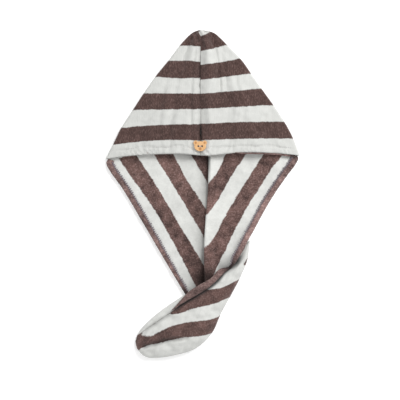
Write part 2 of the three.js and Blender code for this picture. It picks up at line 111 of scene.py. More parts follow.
def smooth(places: Array, values: Array, at: Array) -> Array:
    """Values of a table between its rows, on a smooth curve that never swings past them.

    Each stretch is a cubic whose end slopes are those through the neighbouring rows, held to three
    times the stretch's own slope and to its sign.

    Args:
        places: where the rows stand, rising.
        values: the column's value in each row.
        at: the places asked for, of any shape.

    Returns:
        The values, in the shape of at.
    """
    places, values = np.asarray(places, float), np.asarray(values, float)
    x = np.clip(at, places[0], places[-1])
    i = np.clip(np.searchsorted(places, x, side="left") - 1, 0, len(places) - 2)
    own = np.diff(values) / np.diff(places)
    wide = (values[2:] - values[:-2]) / (places[2:] - places[:-2])
    through = np.concatenate((own[:1], wide, own[-1:]))

    def held(slope: Array) -> Array:
        """A slope held to three times the stretch's own slope, or level if it goes the other way."""
        limited = np.sign(own[i]) * np.minimum(np.abs(slope), 3 * np.abs(own[i]))
        return np.where(slope * own[i] <= 0, 0.0, limited)

    h = places[i + 1] - places[i]
    u = (x - places[i]) / h
    return (
        values[i] * (1 + 2 * u) * (1 - u) ** 2
        + values[i + 1] * u * u * (3 - 2 * u)
        + h * held(through[i]) * u * (1 - u) ** 2
        - h * held(through[i + 1]) * u * u * (1 - u)
    )


@dataclass(frozen=True)
class Table:
    """A table of shares: one row for each place, and a named column for each share."""

    at: tuple[float, ...]
    columns: dict[str, tuple[float, ...]]

    def get(self, name: str, at: Array) -> Array:
        """A column's smooth value at some places."""
        return smooth(self.at, self.columns[name], np.asarray(at, float))


def ease(x: Array) -> Array:
    """A smooth step from 0 at 0 to 1 at 1."""
    x = np.clip(x, 0.0, 1.0)
    return x * x * (3 - 2 * x)


def bell(x: Array, spread: float) -> Array:
    """A bell of height 1 at 0 that falls to about a third at the spread."""
    return np.exp(-((x / spread) ** 2))


def mix(a: Array, b: Array, share: Array) -> Array:
    """Goes from a to b as share goes from 0 to 1."""
    return a + (b - a) * share


def ripples(x: Array, y: Array, length: float, seed: int, waves: int = 9) -> Array:
    """Gentle waves of cloth: a mean of sines in seeded directions, with lengths near the one given.

    Args:
        x: plan places across, in millimetres.
        y: plan places along, in millimetres.
        length: the usual distance between two crests, in millimetres.
        seed: fixes the directions and phases.
        waves: how many sines are summed.

    Returns:
        Heights with a spread of about 1.
    """
    rng = np.random.default_rng(seed)
    total = np.zeros(np.broadcast(x, y).shape)
    turns, phases = rng.uniform(0, math.pi, waves), rng.uniform(0, 2 * math.pi, waves)
    for angle, phase, stretch in zip(turns, phases, rng.uniform(0.7, 1.5, waves)):
        along = x * math.cos(angle) + y * math.sin(angle)
        total += np.sin(along * (2 * math.pi / (length * stretch)) + phase)
    return total / math.sqrt(waves / 2)


def side_of(x: Array, y: Array, curve: Array) -> Array:
    """Distance from a polyline, positive on its left as one walks along it.

    Args:
        x: plan places across.
        y: plan places along.
        curve: the polyline's corners, as rows of x and y.

    Returns:
        The signed distances, in the shape of x.
    """
    a, b = curve[:-1], curve[1:]
    run = b - a
    px, py = x[..., None] - a[:, 0], y[..., None] - a[:, 1]
    share = np.clip((px * run[:, 0] + py * run[:, 1]) / (run**2).sum(1), 0, 1)
    dx, dy = px - share * run[:, 0], py - share * run[:, 1]
    away = np.hypot(dx, dy)
    cross = run[:, 0] * py - run[:, 1] * px
    # At a corner two stretches are equally far: the one that the point is beside counts as nearer
    beyond = np.abs(cross) / np.hypot(run[:, 0], run[:, 1]) < 0.5 * away
    pick = np.argmin(away + 1e-3 * beyond, axis=-1)[..., None]
    nearest, turn = (np.take_along_axis(part, pick, -1)[..., 0] for part in (away, cross))
    return nearest * np.sign(turn)


def curve(*corners: tuple[float, float]) -> Array:
    """A polyline on the plan, in millimetres, rounded by cutting its corners twice."""
    line = np.array(corners, float)
    for _ in range(2):
        cut = np.empty((2 * len(line) - 2, 2))
        cut[0::2] = 0.75 * line[:-1] + 0.25 * line[1:]
        cut[1::2] = 0.25 * line[:-1] + 0.75 * line[1:]
        line = np.vstack((line[:1], cut, line[-1:]))
    return line


def seen(x: Array, y: Array, z: Array) -> tuple[Array, Array]:
    """Where a raised point is seen from above against the plan: farther from the camera's foot.

    Args:
        x: plan places across.
        y: plan places along.
        z: heights above the table.

    Returns:
        The seen places across and along.
    """
    nearer = TABLE_SEEN / (1 - z / CAMERA_HEIGHT)
    foot_x, foot_y = CAMERA_PLACE
    return foot_x + (x - foot_x) * nearer, foot_y + (y - foot_y) * nearer


def stripe_count(x: Array, y: Array, lines: tuple[Array, ...], first: int) -> Array:
    """The way across the stripes: between two stripe edges, the share of the way from one to the next.

    Args:
        x: seen places across.
        y: seen places along.
        lines: the stripe edges, each with the next one on its left.
        first: the count on the first edge.

    Returns:
        The count, which goes on evenly outside the first and last edges. Odd counts start dark stripes.
    """
    away = [side_of(x, y, line) for line in lines]
    count = first + len(lines) - 1 + away[-1] / STRIPE
    for k in range(len(lines) - 2, -1, -1):
        between = away[k] / np.maximum(away[k] - away[k + 1], 1e-6)
        count = np.where(away[k + 1] < 0, first + k + between, count)
    return np.where(away[0] < 0, first + away[0] / STRIPE, count)


# ---- The towel's layout, as shares of the named sizes

CROWN = Table(
    (0.0, 0.1, 0.22, 0.36, 0.5, 0.64, 0.76, 0.87, 0.94, 0.98, 1.0),
    {
        "left": (1.0, 0.923, 0.842, 0.719, 0.6, 0.471, 0.345, 0.238, 0.157, 0.096, 0.03),
        "right": (1.0, 0.953, 0.876, 0.763, 0.634, 0.509, 0.4, 0.263, 0.174, 0.102, -0.02),
    },
)
SEAMS = Table(
    (0.0, 0.5, 0.92, 1.0),
    {"front": (-0.015, -0.022, -0.016, -0.028), "back": (0.071, 0.045, 0.0, -0.028)},
)
LEFT_RAIL = Table(
    (0.0, 0.1, 0.25, 0.5, 0.75, 1.0, 1.1),
    {"x": (-1.0, -0.96, -0.82, -0.596, -0.383, -0.163, -0.08), "y": (0.0, 0.1, 0.24, 0.5, 0.755, 1.01, 1.09)},
)
RIGHT_RAIL = Table(
    (0.0, 0.1, 0.25, 0.5, 0.75, 1.0, 1.1),
    {"x": (1.0, 0.955, 0.857, 0.689, 0.545, 0.452, 0.4), "y": (0.0, 0.065, 0.155, 0.33, 0.51, 0.622, 0.7)},
)
SEAM_RAIL = Table(
    (0.0, 0.25, 0.5, 0.75, 1.0, 1.1),
    {"x": (0.071, 0.066, 0.041, 0.026, 0.036, 0.04), "y": (0.0, 0.24, 0.47, 0.7, 0.925, 1.0)},
)
BRIM_WAVE = Table(
    (-1.0, -0.65, -0.25, 0.05, 0.4, 0.72, 1.0), {"drop": (0.03, 0.003, -0.006, 0.008, -0.018, -0.014, 0.004)}
)
TAIL = Table(
    (0.0, 0.1, 0.22, 0.34, 0.46, 0.6, 0.72, 0.83, 0.92, 0.97, 1.0),
    {
        "inX": (0.39, 0.27, 0.125, -0.066, -0.21, -0.368, -0.482, -0.57, -0.641, -0.675, -0.692),
        "inY": (0.46, 0.53, 0.594, 0.658, 0.696, 0.745, 0.786, 0.824, 0.861, 0.891, 0.92),
        "outX": (0.488, 0.462, 0.398, 0.3, 0.191, 0.09, -0.084, -0.33, -0.53, -0.62, -0.676),
        "outY": (0.424, 0.512, 0.592, 0.682, 0.778, 0.88, 0.955, 0.99, 1.0, 0.985, 0.955),
        "high": (0.7, 0.86, 0.97, 1.0, 1.0, 0.95, 0.86, 0.74, 0.6, 0.46, 0.2),
        "edge": (62, 56, 48, 44, 46, 50, 50, 50, 50, 50, 50),
        "end": (262, 285, 296, 318, 372, 400, 403, 403, 403, 403, 403),
    },
)

# Stripe edges of the front layer, as heights above the brim at the fold, half-way and at the seam
FRONT_STRIPES = {
    Side.LEFT: (
        (-2, 0, 0), (22, 30.5, 30), (55, 60.5, 62), (92.8, 93.4, 94.3), (124.8, 124.8, 124.4),
        (159.8, 157, 158.4), (191.2, 191.2, 189.1), (223.4, 223.4, 221.1), (262, 256, 241), (288, 284, 276),
    ),
    Side.RIGHT: (
        (0, 0, 0), (34, 34, 30.5), (67, 66.2, 62.4), (102.6, 98.6, 94.4), (134.4, 129.3, 124.0),
        (166.3, 160, 153.5), (195.7, 188.2, 183.4), (224.5, 218, 212.6), (251, 247, 240.7), (282, 279, 272),
    ),
}
# Stripe edges of the back layer on each side, from the hem inwards, as seen from above. Each one
# starts where a stripe edge of the front layer goes over the fold.
BACK_LINES = {
    Side.LEFT: (
        curve((-196, 40), (-184, 20), (-169.5, -7), (-152.5, -34), (-129, -65), (-104, -100), (-74.5, -150),
              (-52.5, -187.5), (-36, -221), (-14, -264.5), (0, -289), (14, -316)),
        curve((-170, 66), (-163, 52), (-152, 28), (-134, -4), (-112.5, -34), (-84, -79), (-57, -127.5),
              (-32, -167), (-13, -200), (4.5, -229), (19, -256.5), (34, -285)),
        curve((-144, 102), (-137, 86), (-122, 47), (-112, 26), (-96.5, -1), (-79, -30), (-54, -69), (-28, -113),
              (-11, -142), (5.5, -171), (25.5, -206)),
        curve((-124, 136), (-103, 90), (-86, 50), (-74, 26), (-59, -1), (-47.5, -23), (-35.5, -46), (-22, -67),
              (-6.5, -92), (4, -106.5), (25, -136)),
        curve((-99, 172), (-75, 115), (-50, 56), (-38, 28), (-22, -1), (-3, -34), (11, -57), (27.5, -85.5)),
        curve((-73, 204), (-42, 125), (-12, 55), (15, 0), (30, -32)),
        curve((-50, 236), (-20, 160), (5, 95), (30, 40)),
        curve((-20, 272), (2, 215), (24, 160)),
    ),
    Side.RIGHT: (
        curve((5, -300), (12, -270), (19, -250), (25, -234.6), (39, -208), (51, -186), (68.5, -144), (92, -102),
              (112.5, -71), (142, -24.6), (162, -0.4), (175, 21), (184, 39), (191, 54)),
        curve((-26, -226), (-13, -210), (10, -186), (27.5, -162), (48, -122), (69.5, -86.5), (99.5, -38),
              (124, -0.4), (141.5, 28.5), (154, 47), (170, 76)),
        curve((-21, -161), (11, -117.5), (27.5, -95), (41.5, -71), (63, -34), (89, 2), (106, 28.5), (118, 50),
              (131, 76), (146, 112)),
        curve((-9, -83.5), (13, -58), (27.5, -40), (41, -16), (47, 2), (66, 33), (80, 56), (100, 96), (123, 144)),
        curve((-14, -48), (10, -3), (38, 50), (70, 112), (102, 176)),
        curve((-8, 28), (20, 85), (48, 140), (82, 208)),
        curve((-14, 104), (5, 140), (25, 180), (54, 236)),
        curve((-6, 196), (8, 228), (24, 264)),
    ),
}
# Stripe edges on the tail, from the hem outwards. The first two end at the hem's crease.
TAIL_LINES = (
    curve((92, -180), (77, -205), (63, -225), (46, -235), (29, -257), (10, -272), (-12, -285), (-30, -296),
          (-48, -307), (-64, -321), (-86, -335), (-114, -354)),
    curve((96, -245), (73, -254), (53, -265), (38, -272), (27, -272), (10, -275), (-4, -262), (-14, -240)),
    curve((78, -281), (57, -288), (41, -295), (30, -301), (6, -306), (-18, -312), (-42, -321), (-62, -325),
          (-76, -316), (-86, -300)),
    curve((56, -318), (38, -325), (30, -331), (11, -337), (-12, -339), (-30, -341), (-48, -345), (-66, -350),
          (-86, -360), (-98, -367), (-106, -370), (-122, -370), (-126, -366), (-125, -360), (-119, -355),
          (-118, -350), (-112, -340)),
    curve((38, -355), (6, -366), (-18, -370), (-42, -371), (-50, -373), (-74, -378), (-91, -383), (-108, -385),
          (-117, -389), (-129, -396), (-144, -404)),
)
# The fold of the tail's lower side, towards its tip
LOWER_FOLD = curve((-30, -374), (-50, -374), (-70, -377), (-91, -383), (-108, -387), (-122, -392))


def to_frame(x: Array, y: Array, z: Array) -> Array:
    """Places of the plan, in millimetres, as points of the row's frame, in metres."""
    return np.stack(np.broadcast_arrays(x, y + PLAN_SHIFT, z), -1) * MM


def framed(points: Array) -> Array:
    """Plan points, with x, y and z last, as points of the row's frame."""
    return to_frame(*np.moveaxis(points, -1, 0))


def cloth_places(along: Array, across: Array) -> Array:
    """Cloth coordinates, in metres, from the ways along and across the stripes, in millimetres."""
    return np.stack(np.broadcast_arrays(along, across), -1) * MM


def circle(count: int) -> Array:
    """Corners of a circle of radius 1, as rows of x and y."""
    angle = np.linspace(0, 2 * math.pi, count, endpoint=False)
    return np.stack((np.cos(angle), np.sin(angle)), -1)


def smoothed(line: Array, times: int) -> Array:
    """A line whose inner rows were moved, in place, half-way to their neighbours' mean several times."""
    for _ in range(times):
        line[1:-1] = (line[:-2] + 2 * line[1:-1] + line[2:]) / 4
    return line


@dataclass(frozen=True)
class Spot:
    """A round place on the plan, with a reach, where something is strongest."""

    x: float
    y: float
    reach: float
    most: float = 1.0

    def at(self, x: Array, y: Array) -> Array:
        """How strong it is at some places: a bell about the spot's middle."""
        return self.most * bell(np.hypot(x - self.x, y - self.y), self.reach)


# ---- Meshes


def quads(numbers: Array) -> Array:
    """Four-cornered faces between the neighbouring points of a grid of point numbers."""
    corners = (numbers[:-1, :-1], numbers[:-1, 1:], numbers[1:, 1:], numbers[1:, :-1])
    return np.stack(corners, -1).reshape(-1, 4)


def add_object(name: str, data: bpy.types.ID) -> bpy.types.Object:
    """Makes an object of some data and links it to the scene."""
    made = bpy.data.objects.new(name, data)
    bpy.context.scene.collection.objects.link(made)
    return made


@dataclass
class Surface:
    """Points, faces and cloth coordinates that are gathered into one mesh."""

    points: list[Array] = field(default_factory=list)
    cloth: list[Array] = field(default_factory=list)
    coarse: list[Array] = field(default_factory=list)
    painted_shade: list[Array] = field(default_factory=list)
    faces: list[list[int]] = field(default_factory=list)
    count: int = 0

    def add(
        self, points: Array, cloth: Array | None = None, coarse: Array | float = 0.0, painted_shade: Array | float = 0.0
    ) -> Array:
        """Takes in a grid of points and gives their numbers.

        Args:
            points: points of the row's frame, with x, y and z last.
            cloth: for each point, the way along and across the stripes, in metres.
            coarse: for each point or all, how curly the pile is, from 0 to 1.
            painted_shade: for each point or all, the painted shade that darkens its colour where it lies in a fold,
                from 0 to MOST_PAINTED_SHADE.

        Returns:
            The points' numbers, in the grid's shape.
        """
        shape, flat = points.shape[:-1], points.reshape(-1, 3)
        cloth = np.zeros(2) if cloth is None else cloth
        self.points.append(flat)
        self.cloth.append(np.broadcast_to(cloth, (*shape, 2)).reshape(-1, 2))
        self.coarse.append(np.broadcast_to(coarse, shape).reshape(-1))
        self.painted_shade.append(np.broadcast_to(painted_shade, shape).reshape(-1))
        numbers = np.arange(self.count, self.count + len(flat)).reshape(shape)
        self.count += len(flat)
        return numbers

    def join(self, faces: Array) -> None:
        """Takes in faces, given as rows of point numbers."""
        self.faces.extend(faces.tolist())

    def tube(self, rings: Array, cloth: Array | None = None, painted_shade: Array | float = 0.0) -> None:
        """Joins rings of points, each closed on itself, into a tube with closed ends."""
        numbers = self.add(rings, cloth, painted_shade=painted_shade)
        around = np.concatenate((numbers, numbers[:, :1]), axis=1)
        self.join(quads(around))
        self.faces.append(numbers[0].tolist())
        self.faces.append(numbers[-1][::-1].tolist())

    def cord(self, path: Array, across: Array, up: Array, profile: Array) -> None:
        """Carries a profile along a path of plan points and joins its rings into a closed tube."""
        self.tube(framed(sweep(path, across, up, profile)))

    def piece(self, name: str, flip: bool = False) -> bpy.types.Object:
        """Makes the mesh and its object, smooth, with the cloth coordinates as a UV map."""
        mesh = bpy.data.meshes.new(name)
        faces = [face[::-1] for face in self.faces] if flip else self.faces
        mesh.from_pydata(np.vstack(self.points).tolist(), [], faces)
        corner = np.empty(len(mesh.loops), np.int32)
        mesh.loops.foreach_get("vertex_index", corner)
        layer = mesh.uv_layers.new(name="cloth")
        layer.data.foreach_set("uv", np.vstack(self.cloth)[corner].astype(np.float32).ravel())
        # Each point's coarseness and its painted shade, which darkens the colour in folds, go onto the mesh as
        # attributes
        for label, values in (("coarse", self.coarse), ("painted_shade", self.painted_shade)):
            column = mesh.attributes.new(label, "FLOAT", "POINT")
            column.data.foreach_set("value", np.concatenate(values).clip(0, MOST_PAINTED_SHADE).astype(np.float32))
        mesh.polygons.foreach_set("use_smooth", np.ones(len(mesh.polygons), bool))
        mesh.update()
        return add_object(name, mesh)


def level_sides(path: Array) -> Array:
    """Level directions square to each point of a path, pointing to its left."""
    run = np.gradient(path[:, :2], axis=0)
    sides = np.stack((-run[:, 1], run[:, 0], np.zeros(len(run))), -1)
    return sides / np.linalg.norm(sides, axis=1, keepdims=True)


def even_path(corners: Array, steps: int) -> Array:
    """A path through corners, resampled at even distances with a smooth curve between them."""
    way = np.concatenate(([0.0], np.cumsum(np.linalg.norm(np.diff(corners, axis=0), axis=1))))
    at = np.linspace(0, way[-1], steps + 1)
    return np.stack([smooth(way, corners[:, k], at) for k in range(corners.shape[1])], -1)


def stepped_path(corners: Array, step: float) -> Array:
    """A path through corners, resampled at about the step given."""
    return even_path(corners, int(np.linalg.norm(np.diff(corners, axis=0), axis=1).sum() / step))


def sweep(path: Array, across: Array, up: Array, profile: Array) -> Array:
    """Rings of a profile carried along a path.

    Args:
        path: the path's points, one row each.
        across: the profile's first direction, at each point or all.
        up: the profile's second direction, at each point or all.
        profile: the section's corners, as distances along the two directions, for each point or all.

    Returns:
        The rings, as path point by corner by coordinate.
    """
    section = np.broadcast_to(profile, (len(path), *profile.shape[-2:]))
    across, up = (np.broadcast_to(way, path.shape)[:, None] for way in (across, up))
    return path[:, None] + section[..., :1] * across + section[..., 1:] * up


def thicken(piece: bpy.types.Object, rows: list[tuple[Array, float]], thickness: float) -> None:
    """Gives a sheet its thickness inwards.

    Args:
        piece: the sheet.
        rows: point numbers, each with the share of the thickness that they get.
        thickness: the full thickness, in millimetres.
    """
    group = piece.vertex_groups.new(name="wall")
    for numbers, share in rows:
        group.add(numbers.ravel().tolist(), float(share), "REPLACE")
    wall = piece.modifiers.new("wall", "SOLIDIFY")
    wall.thickness, wall.offset, wall.vertex_group = thickness * MM, -1.0, "wall"


def dress(piece: bpy.types.Object, material: bpy.types.Material, slot: str, *nodes: str) -> None:
    """Gives a piece its material, sets it on the towel's body and hides the nodes it stands for."""
    piece.data.materials.append(material)
    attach(piece, "root")
    if nodes:
        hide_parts(*nodes)


# ---- Materials


def opaque(colour: Triple, factor: float = 1.0) -> tuple[float, ...]:
    """A colour times a factor, with full opacity."""
    return (*(factor * part for part in colour), 1)


class Nodes:
    """Adds and links the nodes of one material or group."""

    def __init__(self, tree: bpy.types.NodeTree) -> None:
        """Keeps the tree that nodes go into."""
        self.tree = tree

    def add(
        self, kind: str, inputs: dict[int | str, object] | None = None, **settings: object
    ) -> bpy.types.Node:
        """Adds a node, sets its properties and sets or links its inputs.

        Args:
            kind: the node's type, without its ShaderNode start.
            inputs: for each input, by name or number, a value or the output that feeds it.
            settings: the node's own properties.

        Returns:
            The node.
        """
        node = self.tree.nodes.new(kind if kind.startswith("NodeGroup") else f"ShaderNode{kind}")
        for key, value in settings.items():
            setattr(node, key, value)
        self.feed(node, inputs or {})
        return node

    def feed(self, node: bpy.types.Node, inputs: dict[int | str, object]) -> None:
        """Sets or links a node's inputs, by name or number."""
        for key, value in inputs.items():
            if isinstance(value, Socket):
                self.tree.links.new(value, node.inputs[key])
            else:
                node.inputs[key].default_value = value

    def math(self, operation: str, *values: object) -> Socket:
        """The result of a sum on up to three values or outputs."""
        return self.add("Math", dict(enumerate(values)), operation=operation).outputs[0]

    def times(self, a: object, b: object) -> Socket:
        """The product of two values or outputs."""
        return self.math("MULTIPLY", a, b)

    def plus(self, a: object, b: object) -> Socket:
        """The sum of two values or outputs."""
        return self.math("ADD", a, b)

    def line(self, value: object, slope: object, start: object) -> Socket:
        """A value times a slope, plus a start."""
        return self.math("MULTIPLY_ADD", value, slope, start)

    def noise(self, vector: Socket, scale: float, detail: float = 1.0) -> Socket:
        """Soft noise about 0, from a half below to a half above."""
        inputs = {"Vector": vector, "Scale": scale, "Detail": detail, "Roughness": 0.6}
        return self.math("SUBTRACT", self.add("TexNoise", inputs).outputs["Fac"], 0.5)

    def place(self) -> Socket:
        """The place on the piece, in metres."""
        return self.add("TexCoord").outputs["Object"]

    def stretched(self, vector: Socket, factors: Triple) -> Socket:
        """A place with each coordinate times its own factor."""
        return self.add("VectorMath", {0: vector, 1: factors}, operation="MULTIPLY").outputs[0]

    def coordinates(self, vector: Socket) -> list[Socket]:
        """A vector's three coordinates."""
        return list(self.add("SeparateXYZ", {0: vector}).outputs)

    def attribute(self, name: str) -> Socket:
        """The value of one of the mesh's own attributes."""
        return self.add("Attribute", attribute_name=name).outputs["Fac"]

    def colour(self, share: object, a: object, b: object, blend: str = "MIX") -> Socket:
        """Two colours mixed by a share."""
        node = self.add("Mix", {0: share, 6: a, 7: b}, data_type="RGBA", blend_type=blend)
        return node.outputs[2]

    def between(
        self, value: object, low: float, high: float, to_low: float = 0.0, to_high: float = 1.0
    ) -> Socket:
        """A value taken smoothly from one range to another and held at its ends."""
        inputs = {"Value": value, "From Min": low, "From Max": high, "To Min": to_low, "To Max": to_high}
        return self.add("MapRange", inputs, interpolation_type="SMOOTHSTEP").outputs[0]

    def finish(
        self,
        shader: bpy.types.Node,
        colour: Socket,
        height: Socket,
        bump: tuple[float, float],
        rest: dict[str, float],
    ) -> None:
        """Feeds a material's surface shader.

        Args:
            shader: the surface shader.
            colour: its colour.
            height: the height that is turned into a bump.
            bump: how strong the bump is, and how deep it is in metres.
            rest: the shader's other values, by name.
        """
        strength, depth = bump
        normal = self.add("Bump", {"Height": height, "Strength": strength, "Distance": depth}).outputs[0]
        self.feed(shader, {"Base Color": colour, "Normal": normal, **rest})


def new_group(name: str, outputs: dict[str, str]) -> tuple[Nodes, bpy.types.Node, bpy.types.Node]:
    """Starts a shader node group that is given the cloth's place, coordinates and coarseness.

    Args:
        name: the group's name.
        outputs: for each output, its socket type.

    Returns:
        The group's nodes, and its input and output nodes.
    """
    tree = bpy.data.node_groups.new(name, "ShaderNodeTree")
    inputs = {"Place": "Vector", "Cloth": "Vector", "Coarse": "Float"}
    for way, sockets in (("INPUT", inputs), ("OUTPUT", outputs)):
        for label, kind in sockets.items():
            tree.interface.new_socket(label, in_out=way, socket_type=f"NodeSocket{kind}")
    nodes = Nodes(tree)
    return nodes, nodes.add("NodeGroupInput"), nodes.add("NodeGroupOutput")


def new_material(name: str) -> tuple[bpy.types.Material, Nodes, bpy.types.Node]:
    """Starts a material, and gives it with its nodes and its surface shader."""
    material = bpy.data.materials.new(name)
    material.use_nodes = True
    return material, Nodes(material.node_tree), material.node_tree.nodes["Principled BSDF"]


@dataclass(frozen=True)
class Pile:
    """The fleece's pile and print: scales of the noise, in waves to a metre, and lengths in metres."""

    fine_curl: float = 520.0
    big_curl: float = 310.0
    hair: float = 1050.0
    patch: float = 55.0
    wide_patch: float = 13.0
    rib_bend: float = 45.0
    rib_length: float = 0.0042
    print_fine: float = 330.0
    print_broad: float = 75.0
    print_fine_shift: float = 0.0026
    print_broad_shift: float = 0.0044

    def shading(self) -> bpy.types.NodeTree:
        """Curls, fine ribs and soft patches, as a shade about 1, a fleck mask and a height.

        Curls and hairs are noise on the cloth's place, so they keep their size over folds. The ribs
        are waves along the cloth's first coordinate, bent and broken by noise. The patches are broad
        noise where the pile was brushed the other way.
        """
        nodes, given, out = new_group("fleece_pile", {"Shade": "Float", "Fleck": "Float", "Height": "Float"})
        place, coarse = given.outputs["Place"], given.outputs["Coarse"]
        fine_curl = nodes.noise(nodes.stretched(place, (1.0, 0.35, 1.0)), self.fine_curl, 2.0)
        big_curl = nodes.noise(place, self.big_curl, 2.5)
        curl = nodes.add("Mix", {0: coarse, 2: fine_curl, 3: big_curl}, data_type="FLOAT").outputs[0]
        hair = nodes.noise(place, self.hair)
        patch = nodes.noise(place, self.patch, 2.5)
        wide = nodes.noise(place, self.wide_patch)
        along = nodes.coordinates(given.outputs["Cloth"])[0]
        bend = nodes.times(nodes.noise(place, self.rib_bend), 7.0)
        wave = nodes.math("SINE", nodes.plus(nodes.times(along, 2 * math.pi / self.rib_length), bend))
        rib = nodes.times(wave, nodes.between(patch, -0.2, 0.25, 0.15, 1.0))
        rib = nodes.times(rib, nodes.line(coarse, -0.75, 1.0))
        grain = nodes.times(nodes.line(hair, 0.7, curl), nodes.line(coarse, 0.12, 0.9))
        shade = nodes.line(grain, 0.78, nodes.times(rib, 0.07))
        shade = nodes.plus(shade, nodes.times(patch, nodes.line(coarse, 1.6, 0.8)))
        shade = nodes.plus(shade, nodes.times(wide, nodes.line(coarse, 0.7, 0.4)))
        fleck = nodes.between(nodes.line(hair, 0.5, curl), -0.06, 0.24)
        fleck = nodes.times(fleck, nodes.line(coarse, 0.42, 0.3))
        height = nodes.line(rib, 0.16, nodes.times(grain, 1.2))
        nodes.feed(out, {"Shade": nodes.plus(shade, 1.0), "Fleck": fleck, "Height": height})
        return nodes.tree

    def stripes(self) -> bpy.types.NodeTree:
        """Printed stripes: a mask that is 0 on light stripes and 1 on dark ones, with fuzzy edges.

        The way across the cloth, moved by fine and broad noise, is folded into a wave that rises and
        falls once in two stripes, and the wave is cut at its middle.
        """
        nodes, given, out = new_group("fleece_stripes", {"Dark": "Float"})
        place = given.outputs["Place"]
        fine = nodes.times(nodes.noise(place, self.print_fine, 2.0), self.print_fine_shift)
        broad = nodes.times(nodes.noise(place, self.print_broad, 2.0), self.print_broad_shift)
        fuzz = nodes.times(nodes.plus(fine, broad), nodes.line(given.outputs["Coarse"], 0.45, 0.75))
        across = nodes.plus(nodes.coordinates(given.outputs["Cloth"])[1], fuzz)
        count = nodes.math("SUBTRACT", nodes.math("DIVIDE", across, STRIPE * MM), 0.5)
        nodes.feed(out, {"Dark": nodes.between(nodes.math("PINGPONG", count, 1.0), 0.44, 0.51)})
        return nodes.tree


@dataclass(frozen=True)
class Fleece:
    """Striped or plain coral fleece, printed the same on both faces.

    The pile's coarseness goes from 0, brushed smooth, to 1, curly. A striped cloth reads it from its
    own "coarse" attribute, and a plain one has the same all over. Both get painted shade: their
    colour is darkened by the shade value that each point carries, where it lies in a fold or crevice.
    """

    name: str
    light: Triple = (0.578, 0.582, 0.56)
    dark: Triple = (0.082, 0.047, 0.041)
    fleck: Triple = (0.225, 0.148, 0.136)
    coarseness: float = 0.8
    striped: bool = True
    painted_shade_strength: float = 0.78

    def make(self, groups: dict[str, bpy.types.NodeTree]) -> bpy.types.Material:
        """Builds the material.

        Args:
            groups: the shared node groups, by name.

        Returns:
            The material.
        """
        material, nodes, shader = new_material(self.name)
        coarse = nodes.attribute("coarse") if self.striped else self.coarseness
        given = {"Place": nodes.place(), "Cloth": nodes.add("UVMap", uv_map="cloth").outputs[0], "Coarse": coarse}
        pile = nodes.add("Group", given, node_tree=groups["pile"]).outputs
        base = nodes.colour(coarse, opaque(self.dark, 0.82), opaque(self.dark, 1.36))
        base = nodes.colour(pile["Fleck"], base, opaque(self.fleck))
        shade = nodes.math("SUBTRACT", pile["Shade"], 1.0)
        if self.striped:
            stripes = nodes.add("Group", given, node_tree=groups["stripes"]).outputs["Dark"]
            light = nodes.colour(coarse, opaque(self.light), opaque(self.light, 1.12))
            base = nodes.colour(stripes, light, base)
            shade = nodes.times(shade, nodes.line(stripes, 0.82, 0.18))
        # Painted shade: the colour is darkened by each point's painted shade value, in folds, crevices and under the
        # brim
        shade = nodes.times(nodes.plus(shade, 1.0), nodes.line(nodes.attribute("painted_shade"), -self.painted_shade_strength, 1.0))
        grey = nodes.add("CombineColor", {0: shade, 1: shade, 2: shade}).outputs[0]
        surface = {"Roughness": 0.95, "Specular IOR Level": 0.12, "Sheen Weight": 0.12, "Sheen Roughness": 0.6}
        nodes.finish(shader, nodes.colour(1.0, base, grey, "MULTIPLY"), pile["Height"], (0.6, 0.0013), surface)
        return material


@dataclass(frozen=True)
class Thread:
    """Sewing thread or covered elastic, with a fine twist along it."""

    name: str
    colour: Triple = (0.62, 0.6, 0.58)
    shadow: Triple = (0.36, 0.34, 0.36)
    twist: float = 1400.0

    def make(self) -> bpy.types.Material:
        """Builds the material: slanting bands on the thread's own coordinates, in colour and bump."""
        material, nodes, shader = new_material(self.name)
        place = nodes.place()
        x, y, z = nodes.coordinates(place)
        wave = nodes.math("SINE", nodes.times(nodes.plus(x, nodes.plus(y, z)), self.twist * math.pi))
        ply = nodes.between(nodes.plus(wave, nodes.noise(place, 900.0)), -0.8, 0.6)
        colour = nodes.colour(ply, opaque(self.shadow), opaque(self.colour))
        nodes.finish(shader, colour, ply, (0.5, 0.0003), {"Roughness": 0.75, "Sheen Weight": 0.15})
        return material


@dataclass(frozen=True)
class Wood:
    """Pale smooth wood with long grain, browned where it was burnt in.

    Its sides are browned too, from one distance in metres below the top to another.
    """

    name: str
    early: Triple = (0.72, 0.43, 0.2)
    late: Triple = (0.56, 0.3, 0.12)
    burnt: Triple = (0.42, 0.19, 0.065)
    sides_from: float = 0.0003
    sides_to: float = 0.0009

    def make(self, marks: list[tuple[Vector, float]]) -> bpy.types.Material:
        """Builds the material.

        Args:
            marks: the middle and size, in metres, of each place on the top that is burnt darker. With
                any of them the sides are darker too.

        Returns:
            The material.
        """
        material, nodes, shader = new_material(self.name)
        place = nodes.place()
        grain = nodes.stretched(place, (1.0, 0.09, 1.0))
        rings, pores = nodes.noise(grain, 620.0, 3.0), nodes.noise(grain, 2600.0, 2.0)
        share = nodes.between(nodes.plus(rings, nodes.times(pores, 0.35)), -0.2, 0.3)
        colour = nodes.colour(share, opaque(self.early), opaque(self.late))
        if marks:
            top = marks[0][0].z
            sides = nodes.between(nodes.coordinates(place)[2], top - self.sides_from, top - self.sides_to)
            colour = nodes.colour(nodes.times(sides, 0.75), colour, opaque(self.burnt))
        for middle, reach in marks:
            away = nodes.add("VectorMath", {0: place, 1: tuple(middle)}, operation="DISTANCE").outputs["Value"]
            burn = nodes.between(nodes.plus(away, nodes.times(pores, 0.0006)), reach, reach * 0.45)
            colour = nodes.colour(burn, colour, opaque(self.burnt))
        nodes.finish(shader, colour, rings, (0.25, 0.0003), {"Roughness": 0.48})
        return material


# ---- The cloth halves


